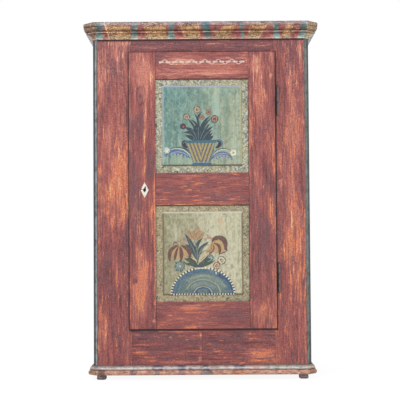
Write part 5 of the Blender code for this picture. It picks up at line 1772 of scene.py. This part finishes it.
@dataclass
class Brush:
    """Strokes of thin paint on one board; places are millimetres right of and above its foot's middle."""

    name: str
    node: str
    slot: str
    colours: dict[str, tuple[int, int, int, float]]
    ground: Ground
    inset: float = 0.0435
    lift: float = 0.00006
    film: float = 0.000006
    depth: float = 0.0006
    strokes: list[tuple[np.ndarray, str]] = field(default_factory=list)

    def along(self, colour: str, width: float, blunt: float, *places: float, steps: int = 18) -> None:
        """A stroke through some places: a Lagrange curve whose half width is a power of a sine.

        Args:
            colour: The name of its colour.
            width: Its greatest width.
            blunt: Near 1 for a leaf, and near 0 for an even line.
            places: The x and z of each place that it passes.
            steps: Points along it.
        """
        points = np.reshape(places, (-1, 2)).astype(float)
        reach = np.concatenate([[0.0], np.cumsum(np.linalg.norm(np.diff(points, axis=0), axis=1))])
        knots = reach / reach[-1]
        share = np.linspace(0, 1, steps)
        line = np.zeros((steps, 2))
        for number, point in enumerate(points):
            others = np.delete(knots, number)
            line += ((share[:, None] - others) / (knots[number] - others)).prod(1)[:, None] * point
        self.ribbon(colour, line, width / 2 * np.sin(math.pi * share) ** blunt + 0.25)

    def ribbon(self, colour: str, line: np.ndarray, half: np.ndarray) -> None:
        """A stroke along a line: each point is the line's point plus a share of the half width across it.

        Args:
            colour: The name of its colour.
            line: Points along the stroke.
            half: Half its width at each point.
        """
        ahead = np.gradient(line, axis=0)
        across = np.stack([-ahead[:, 1], ahead[:, 0]], 1)
        across /= np.linalg.norm(across, axis=1)[:, None] + 1e-12
        width = half[:, None, None] * np.linspace(-1, 1, 4)[None, :, None]
        self.strokes.append((line[:, None] + across[:, None] * width, colour))

    def ring(self, colour: str, centre: Pair, inner: Pair, outer: Pair, start: float = 0.0, end: float = 360.0,
             steps: int = 24) -> None:
        """A part of an elliptical ring between two angles in degrees.

        Args:
            colour: The name of its colour.
            centre: The ring's middle.
            inner: Its inner half width and half height.
            outer: Its outer half width and half height.
            start: The angle where it starts.
            end: The angle where it ends.
            steps: Points along it.
        """
        angle = np.radians(np.linspace(start, end, steps))
        turn = np.stack([np.cos(angle), np.sin(angle)], 1)
        near, far = np.array(centre) + turn * np.array(inner), np.array(centre) + turn * np.array(outer)
        share = np.linspace(0, 1, 3)[None, :, None]
        self.strokes.append((near[:, None] * (1 - share) + far[:, None] * share, colour))

    def blossom(self, centre: Pair, radius: float, *rings: tuple[float, str]) -> None:
        """A round blossom: discs of given shares of its radius, laid one on another."""
        for share, colour in rings:
            self.ring(colour, centre, (0.05, 0.05), (radius * share, radius * share), steps=17)

    def flower(self, centre: Pair, radius: float, petal: str, core: str, rim: str) -> None:
        """A painted flower: a dark disc, eight petal dabs that stand unevenly round it, and a core.

        Args:
            centre: The flower's middle.
            radius: Its radius.
            petal: The colour of the petals.
            core: The colour of the core, which lies off the middle.
            rim: The colour of the disc.
        """
        self.blossom(centre, radius, (1.0, rim))
        for number in range(8):
            angle = 2 * math.pi * number / 8 + centre[0]
            reach = radius * (0.60 + 0.08 * math.sin(number * 2.7 + centre[1]))
            dab = (centre[0] + reach * math.cos(angle), centre[1] + reach * math.sin(angle))
            self.blossom(dab, radius * 0.26, (1.0, petal))
        middle = (centre[0] + radius * 0.08, centre[1] - radius * 0.06)
        self.blossom(middle, radius * 0.34, (1.0, core), (0.5, petal))

    def star(self, centre: Pair, radius: float, petals: int, width: float, colour: str) -> None:
        """Petals round a middle, alternately long and a little shorter.

        Args:
            centre: The star's middle.
            radius: The length of the longer petals.
            petals: How many there are.
            width: Their width.
            colour: The name of their colour.
        """
        for number in range(petals):
            angle = 2 * math.pi * number / petals + 0.3
            reach = radius * (1.0 if number % 2 else 0.86)
            tip = (centre[0] + reach * math.cos(angle), centre[1] + reach * math.sin(angle))
            self.along(colour, width, 0.8, *centre, *tip, steps=7)

    def patch(self, colour: str, *corners: Pair) -> None:
        """A patch between four corners, from the lower left anticlockwise: a straight blend across.

        Args:
            colour: The name of its colour.
            corners: The corners.
        """
        low_left, low_right, high_right, high_left = (np.array(corner, float) for corner in corners)
        share = np.linspace(0, 1, 3)[:, None]
        left = low_left + (high_left - low_left) * share
        right = low_right + (high_right - low_right) * share
        across = share[None]
        self.strokes.append((left[:, None] * (1 - across) + right[:, None] * across, colour))

    def build(self) -> None:
        """Makes one piece of all the strokes: each is a flat film a hair's breadth above the one before."""
        low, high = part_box(self.node)
        middle, foot = (low.x + high.x) / 2, low.z + self.inset
        used = sorted({colour for _, colour in self.strokes})
        materials = [BrushColour(f"{self.name}_{name}", self.colours[name][:3], self.ground,
                                 self.colours[name][3]).material() for name in used]
        shells = []
        for number, (grid, colour) in enumerate(self.strokes):
            x, z = middle + grid[..., 0] / 1000, foot + grid[..., 1] / 1000
            front = np.stack([x, np.full_like(x, low.y - self.lift - self.film * number), z], -1)
            points, faces = slab(front, low.y + self.depth)
            row = len(front) // 2
            ahead, side = front[row, 0] - front[row - 1, 0], front[row, 1] - front[row, 0]
            if np.cross(ahead, side)[1] < 0:
                faces = flipped(faces)
            shells.append(Shell(points, faces, slot=used.index(colour)))
        make_piece(self.name, shells, materials, "door", 30.0)


@dataclass
class Ornament:
    """The painted ornament: an urn of flowers above, a mound with tulips below, and a plain garland."""

    teal: Ground
    cream: Ground

    def build(self) -> None:
        """Paints every motif."""
        for motif in (self.urn, self.mound, self.garland):
            motif()

    def urn(self) -> None:
        """A tapered urn with stripes that meet in a V, its leaves and blossoms, and feathered scrolls."""
        brush = Brush("urn_painting", "door_upper_panel", "teal_panel_paint", TEAL_COLOURS, self.teal)
        for stroke in URN_STROKES:
            brush.along(*stroke)
        for first, last, rise in ((-168, -76, 58), (64, 142, 46)):
            for number, right in enumerate(np.linspace(first, last, 12)):
                bend = 1 - ((right - (first + last) / 2) / (last - first) * 2) ** 2
                brush.blossom((right, rise - 16 + 14 * bend), 3.6, (1.0, "scroll" if number % 2 else "soft"))
        for colour, width, *rest in LEAF_STROKES:
            brush.along(colour, width * (1.12 if colour == "slate" else 1.0), *rest)
        brush.patch("band", (-46, 16), (42, 16), (66, 112), (-80, 112))
        brush.patch("grey", (-38, 16), (34, 16), (64, 111), (-68, 111))
        lean, middle, foot, brim = 0.36, -3.0, 16.0, 111.0
        slant, pitch, half = lean * (brim - foot), 17.5, 4.5
        for sign, first in ((-1, 67.0), (1, 61.0)):
            for number in range(4):
                edges = [first - pitch * number - half, first - pitch * number + half]
                lower = [(middle + sign * max(0.0, edge - slant), max(foot, brim - edge / lean)) for edge in edges]
                brush.patch("ochre", *lower, *((middle + sign * edge, brim) for edge in edges[::-1]))
        brush.patch("teal", (-76, 111), (66, 111), (75, 126), (-82, 123))
        brush.patch("teal", (-52, 1), (48, 2), (44, 16), (-45, 16))
        brush.patch("soft", (-46, 14.5), (45, 14.5), (45, 16.5), (-46, 16.5))
        for x, z, radius, *tones in (
                (-24, 275, 17.5, "cream", "dark", "rose"), (32, 263, 14.5, "pink", "red", "rose"),
                (62, 229, 18.5, "pink", "red", "dark"), (0, 238, 13.0, "pink", "rose", "rose"),
                (-76, 240, 16.0, "cream", "rose", "dark"), (-93, 193, 14.5, "red", "pink", "dark")):
            brush.flower((x, z), radius, *tones)
        for number in range(16):
            spot = (-98 + 34 * math.sin(2.4 * number), 262 + 34 * math.cos(1.7 * number))
            brush.blossom(spot, 1.6 + 0.8 * math.sin(5.1 * number), (1.0, "ochre" if number % 4 else "teal"))
        brush.star((-173, 75), 17.0, 14, 6.0, "white")
        brush.star((153, 62), 19.0, 11, 6.5, "star")
        brush.blossom((-173, 75), 6.0, (1.0, "star"))
        brush.blossom((153, 62), 6.0, (1.0, "cream"), (0.5, "ochre"))
        brush.build()

    def mound(self) -> None:
        """A half round of blue and grey bands edged with teeth, a tulip, two bells and small flowers."""
        brush = Brush("mound_painting", "door_lower_panel", "cream_panel_paint", CREAM_COLOURS, self.cream)
        centre, wide, high = (0.0, 3.0), 149.0, 122.0
        for far, near, colour, start, end in (
                (1.0, 0.01, "sky", 0, 180), (0.86, 0.01, "water", 0, 180), (1.0, 0.86, "deep", 0, 56),
                (0.93, 0.84, "sky", 4, 40), (0.80, 0.62, "grey", 20, 135), (0.60, 0.545, "olive", 6, 160),
                (0.50, 0.30, "grey", 30, 150), (0.74, 0.70, "olive", 70, 125), (0.34, 0.01, "deep", 0, 180),
                (0.32, 0.27, "olive", 4, 176), (0.22, 0.02, "water", 20, 160)):
            brush.ring(colour, centre, (wide * near, high * near), (wide * far, high * far), start, end, 40)
        teeth = 58
        for number in range(teeth):
            if 0.42 < number / teeth < 0.58 and number % 2 == 0:
                continue
            angle = math.radians(1 + 178 * number / (teeth - 1))
            turn = np.array([math.cos(angle), math.sin(angle)])
            side = np.array([-turn[1], turn[0]]) * 2.8
            near, far = np.array([wide, high]) * turn + centre, np.array([wide + 9, high + 9]) * turn + centre
            brush.patch("white" if number % 2 else "black", near - side, near + side, far + side, far - side)
        for number in range(46):
            left, right = -wide + 2 * wide * number / 45 - 3, -wide + 2 * wide * number / 45 + 3
            brush.patch("white" if number % 2 else "black", (left, -1), (right, -1), (right, 5), (left, 5))
        brush.star((-113, 139), 31.0, 15, 10.0, "leaf")
        brush.star((-113, 139), 27.0, 13, 6.5, "blue")
        brush.star((-109, 135), 15.0, 8, 5.0, "soft")
        brush.blossom((-111, 138), 5.0, (1.0, "cream"))
        brush.flower((91, 166), 21.0, "cream", "soft", "leaf")
        brush.flower((67, 140), 18.0, "pink", "rust", "brown")
        brush.flower((36, 178), 17.0, "blue", "cream", "leaf")
        brush.ribbon("brown", np.array([(-76, 262), (-96, 276), (-116, 258)], float), np.full(3, 1.2))
        brush.ribbon("brown", np.array([(10, 264), (30, 284), (50, 266)], float), np.full(3, 1.2))
        for x, z, radius in ((-99, 269, 7.0), (-84, 262, 6.0), (-110, 262, 6.0), (-92, 278, 5.0), (30, 278, 7.0),
                             (16, 270, 6.0), (44, 270, 6.5), (24, 288, 5.0)):
            brush.blossom((x, z), radius, (1.0, "rust"), (0.8, "pink"), (0.35, "rust"))
        brush.along("tan", 78.0, 0.5, -110, 244, -112, 205, -113, 172)
        brush.along("tan", 70.0, 0.5, 38, 250, 72, 235, 96, 205)
        for colour, width, *rest in MOUND_STROKES:
            brush.along(colour, width * (1.15 if colour == "leaf" else 1.0), *rest)
        brush.patch("white", (61, 98), (66, 98), (66, 111), (61, 111))
        brush.build()

    def garland(self) -> None:
        """A plain garland on the door's top rail: a waving stem with leaf pairs and dots."""
        coat = Coat()
        rail = Ground("rail_ground", 3.0, (-0.3, 0.3, 1.5, 1.6), (coat.thin, coat.coat), coat.pale, 0.4,
                      coat.rubbed)
        brush = Brush("garland_painting", "door_top_rail", "red_paint", {"white": (232, 208, 196, 0.45)}, rail, 0.0)
        middle, swing, wave = 82.0, 11.0, 66.0
        right = np.linspace(-208, 198, 150)
        stem = np.stack([right, middle + swing * np.sin(2 * math.pi * right / wave)], 1)
        brush.ribbon("white", stem, np.full(150, 1.7))
        for number in range(13):
            crest = -214.5 + wave * (number + 0.5) / 2
            way = math.sin(2 * math.pi * crest / wave)
            top = middle + swing * way
            brush.blossom((crest, top - way * 18), 5.0, (1.0, "white"))
            for sign in (-1, 1):
                brush.along("white", 7.5, 0.8, crest, top, crest + sign * 6, top + way * 9, crest + sign * 14,
                            top + way * 11, steps=9)
        brush.build()


# Camera, lamps and floor


def seen(tree: bpy.types.NodeTree) -> bpy.types.NodeSocket:
    """1 for rays that show the background: straight from the camera, reflected or through glass.

    Args:
        tree: The node tree.

    Returns:
        The socket.
    """
    path = tree.nodes.new("ShaderNodeLightPath").outputs
    first = add_node(tree, "Math", {0: path["Is Camera Ray"], 1: path["Is Glossy Ray"]}, operation="ADD")
    return add_node(tree, "Math", {0: first, 1: path["Is Transmission Ray"]}, operation="ADD", use_clamp=True)


@dataclass
class Studio:
    """A pale floor and backdrop, soft lamps, and the camera in front of the door."""

    distance: float = 5.0
    place_x: float = 0.0072
    place_z: float = 0.6939
    yaw: float = 0.168
    pitch: float = 2.085
    roll: float = -0.386
    lens: float = 91.85
    daylight: float = 0.57
    key: float = 50.0
    low: float = 30.0
    floor_tone: float = 0.88
    floor_seen: float = 0.15
    floor_glow: float = 0.92
    floor_reach: float = 30.0

    def build(self) -> None:
        """Sets up everything that isn't the cupboard."""
        for step in (self.camera, self.lamps, self.floor, self.world):
            step()
        bpy.context.scene.view_settings.view_transform = "Standard"

    def place(self, name: str, data: bpy.types.ID) -> bpy.types.Object:
        """Links a new object to the scene.

        Args:
            name: Its name.
            data: Its camera, lamp or mesh.

        Returns:
            The object.
        """
        thing = bpy.data.objects.new(name, data)
        bpy.context.scene.collection.objects.link(thing)
        return thing

    def camera(self) -> None:
        """Aims the camera: level, then turned by yaw, tilted by pitch and rolled about its own axis."""
        yaw, pitch, roll = (math.radians(angle) for angle in (self.yaw, self.pitch, self.roll))
        right = Vector((math.cos(yaw), math.sin(yaw), 0.0))
        ahead = Vector((-math.sin(yaw) * math.cos(pitch), math.cos(yaw) * math.cos(pitch), math.sin(pitch)))
        rolled = right * math.cos(roll) + right.cross(ahead) * math.sin(roll)
        turn = Matrix((rolled, rolled.cross(ahead), -ahead)).transposed().to_4x4()
        data = bpy.data.cameras.new("camera")
        data.lens, data.clip_end = self.lens, 60.0
        camera = self.place("camera", data)
        camera.matrix_world = Matrix.Translation((self.place_x, FRONT - self.distance, self.place_z)) @ turn
        bpy.context.scene.camera = camera

    def lamps(self) -> None:
        """One large soft lamp above the left of the camera, and weaker ones on the right and below."""
        for name, spot, size, power in (("key_lamp", (-1.7, -3.0, 3.3), 1.8, self.key),
                                        ("fill_lamp", (2.4, -3.2, 1.8), 2.4, self.key * 0.25),
                                        ("low_lamp", (0.3, -3.6, 0.25), 2.2, self.low)):
            data = bpy.data.lights.new(name, "AREA")
            data.shape, data.size, data.energy = "DISK", size, power
            turn = (Vector((0.0, 0.0, 0.9)) - Vector(spot)).to_track_quat("-Z", "Y").to_matrix().to_4x4()
            self.place(name, data).matrix_world = Matrix.Translation(spot) @ turn

    def floor(self) -> None:
        """A pale floor that glows a little for the camera, so that it is white but keeps its shadow."""
        material = bpy.data.materials.new("pale_floor")
        material.use_nodes = True
        tree = material.node_tree
        rays = seen(tree)
        tone = add_node(tree, "MapRange", {"Value": rays, "To Min": self.floor_tone, "To Max": self.floor_seen})
        glow = add_node(tree, "Math", {0: rays, 1: self.floor_glow}, operation="MULTIPLY")
        feed(tree.nodes["Principled BSDF"], {"Base Color": tone, "Roughness": 1.0, "Specular IOR Level": 0.0,
                                             "Emission Color": WHITE, "Emission Strength": glow})
        mesh = bpy.data.meshes.new("floor")
        corners = rectangle((-self.floor_reach, self.floor_reach), (-self.floor_reach, self.floor_reach))
        mesh.from_pydata([(*corner, 0) for corner in corners], [], [(0, 1, 2, 3)])
        mesh.materials.append(material)
        self.place("floor", mesh)

    def world(self) -> None:
        """Even daylight for the cupboard, and plain white where the background is seen."""
        world = bpy.data.worlds.new("daylight")
        bpy.context.scene.world = world
        world.use_nodes = True
        tree = world.node_tree
        level = add_node(tree, "MapRange", {"Value": seen(tree), "To Min": self.daylight, "To Max": 1.0})
        feed(tree.nodes["Background"], {"Color": WHITE, "Strength": level})


def panels(pine: Material) -> tuple[Ground, Ground]:
    """Builds the two panels, each with its ground coat, its stippled margin and a bare back.

    Args:
        pine: The bare timber of their backs.

    Returns:
        The grounds of the upper and the lower panel.
    """
    # Each ground's edge lines run left, right, bottom and top; the top ones are painted highlights and the bottom
    # ones painted shadows.
    teal = Ground("teal_ground", 2.0, (-0.1885, 0.1985, 1.0455, 1.437),
                  ((104, 148, 146), (124, 154, 144), (146, 168, 152), (166, 174, 150)),
                  (92, 120, 112), 0.6, (182, 200, 182), 0.3,
                  ((164, 178, 180), (178, 176, 128), (92, 84, 62), (176, 176, 192)),
                  ((-0.012, 1.37, 0.010, 0.055, (92, 122, 118)), (0.022, 1.36, 0.012, 0.035, (96, 122, 110)),
                   (0.125, 1.30, 0.012, 0.11, (112, 140, 124)), (0.078, 1.36, 0.016, 0.07, (176, 196, 178)),
                   (-0.06, 1.07, 0.10, 0.02, (160, 176, 152))))
    cream = Ground("cream_ground", 6.0, (-0.1885, 0.1985, 0.415, 0.8165),
                   ((158, 155, 125), (180, 176, 147), (202, 198, 170), (202, 198, 168)),
                   (146, 142, 112), 0.5, (214, 210, 188), 0.1,
                   ((116, 104, 80), (124, 110, 84), (120, 92, 70), (208, 202, 184)),
                   ((0.088, 0.775, 0.010, 0.010, (196, 150, 112)), (0.10, 0.75, 0.012, 0.02, (204, 184, 152)),
                    (0.185, 0.62, 0.006, 0.004, (80, 72, 62)), (0.148, 0.55, 0.003, 0.003, (84, 74, 62)),
                    (0.128, 0.77, 0.003, 0.003, (84, 78, 62))))
    upper = Stipple("upper_margin", 1.0, (148, 151, 136), (210, 210, 190), (168, 162, 132),
                    (74, 74, 66), 1.0095, 1.473)
    lower = Stipple("lower_margin", 3.0, (150, 142, 116), (194, 187, 158), (168, 154, 120),
                    (88, 76, 62), 0.379, 0.8525)
    for which, slot, ground, margin in (("upper", "teal", teal, upper), ("lower", "cream", cream, lower)):
        Panel(f"door_{which}_panel", f"{slot}_panel_paint", [ground.material(), margin.material(), pine]).build()
    return teal, cream


def main() -> None:
    """Dresses the frame, piece by piece."""
    logging.basicConfig(level=logging.INFO, format="%(name)s: %(message)s")
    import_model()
    finishes = Palette()
    Carcase(finishes).build()
    Cornice("cornice", finishes.stripes).build()
    BaseMoulding("base", finishes.base).build()
    Feet(finishes.foot).build()
    Door(finishes).build()
    Ornament(*panels(finishes.pine_upright)).build()
    Plate(finishes).build()
    dress(["lock_case", "lock_bolt", "lock_spring", "lock_keeper"], finishes.iron)
    dress([f"{which}_hinge_{half}_half" for which in ("upper", "lower") for half in ("door", "frame")],
          finishes.hinge)
    Studio().build()


if __name__ == "__main__":
    main()
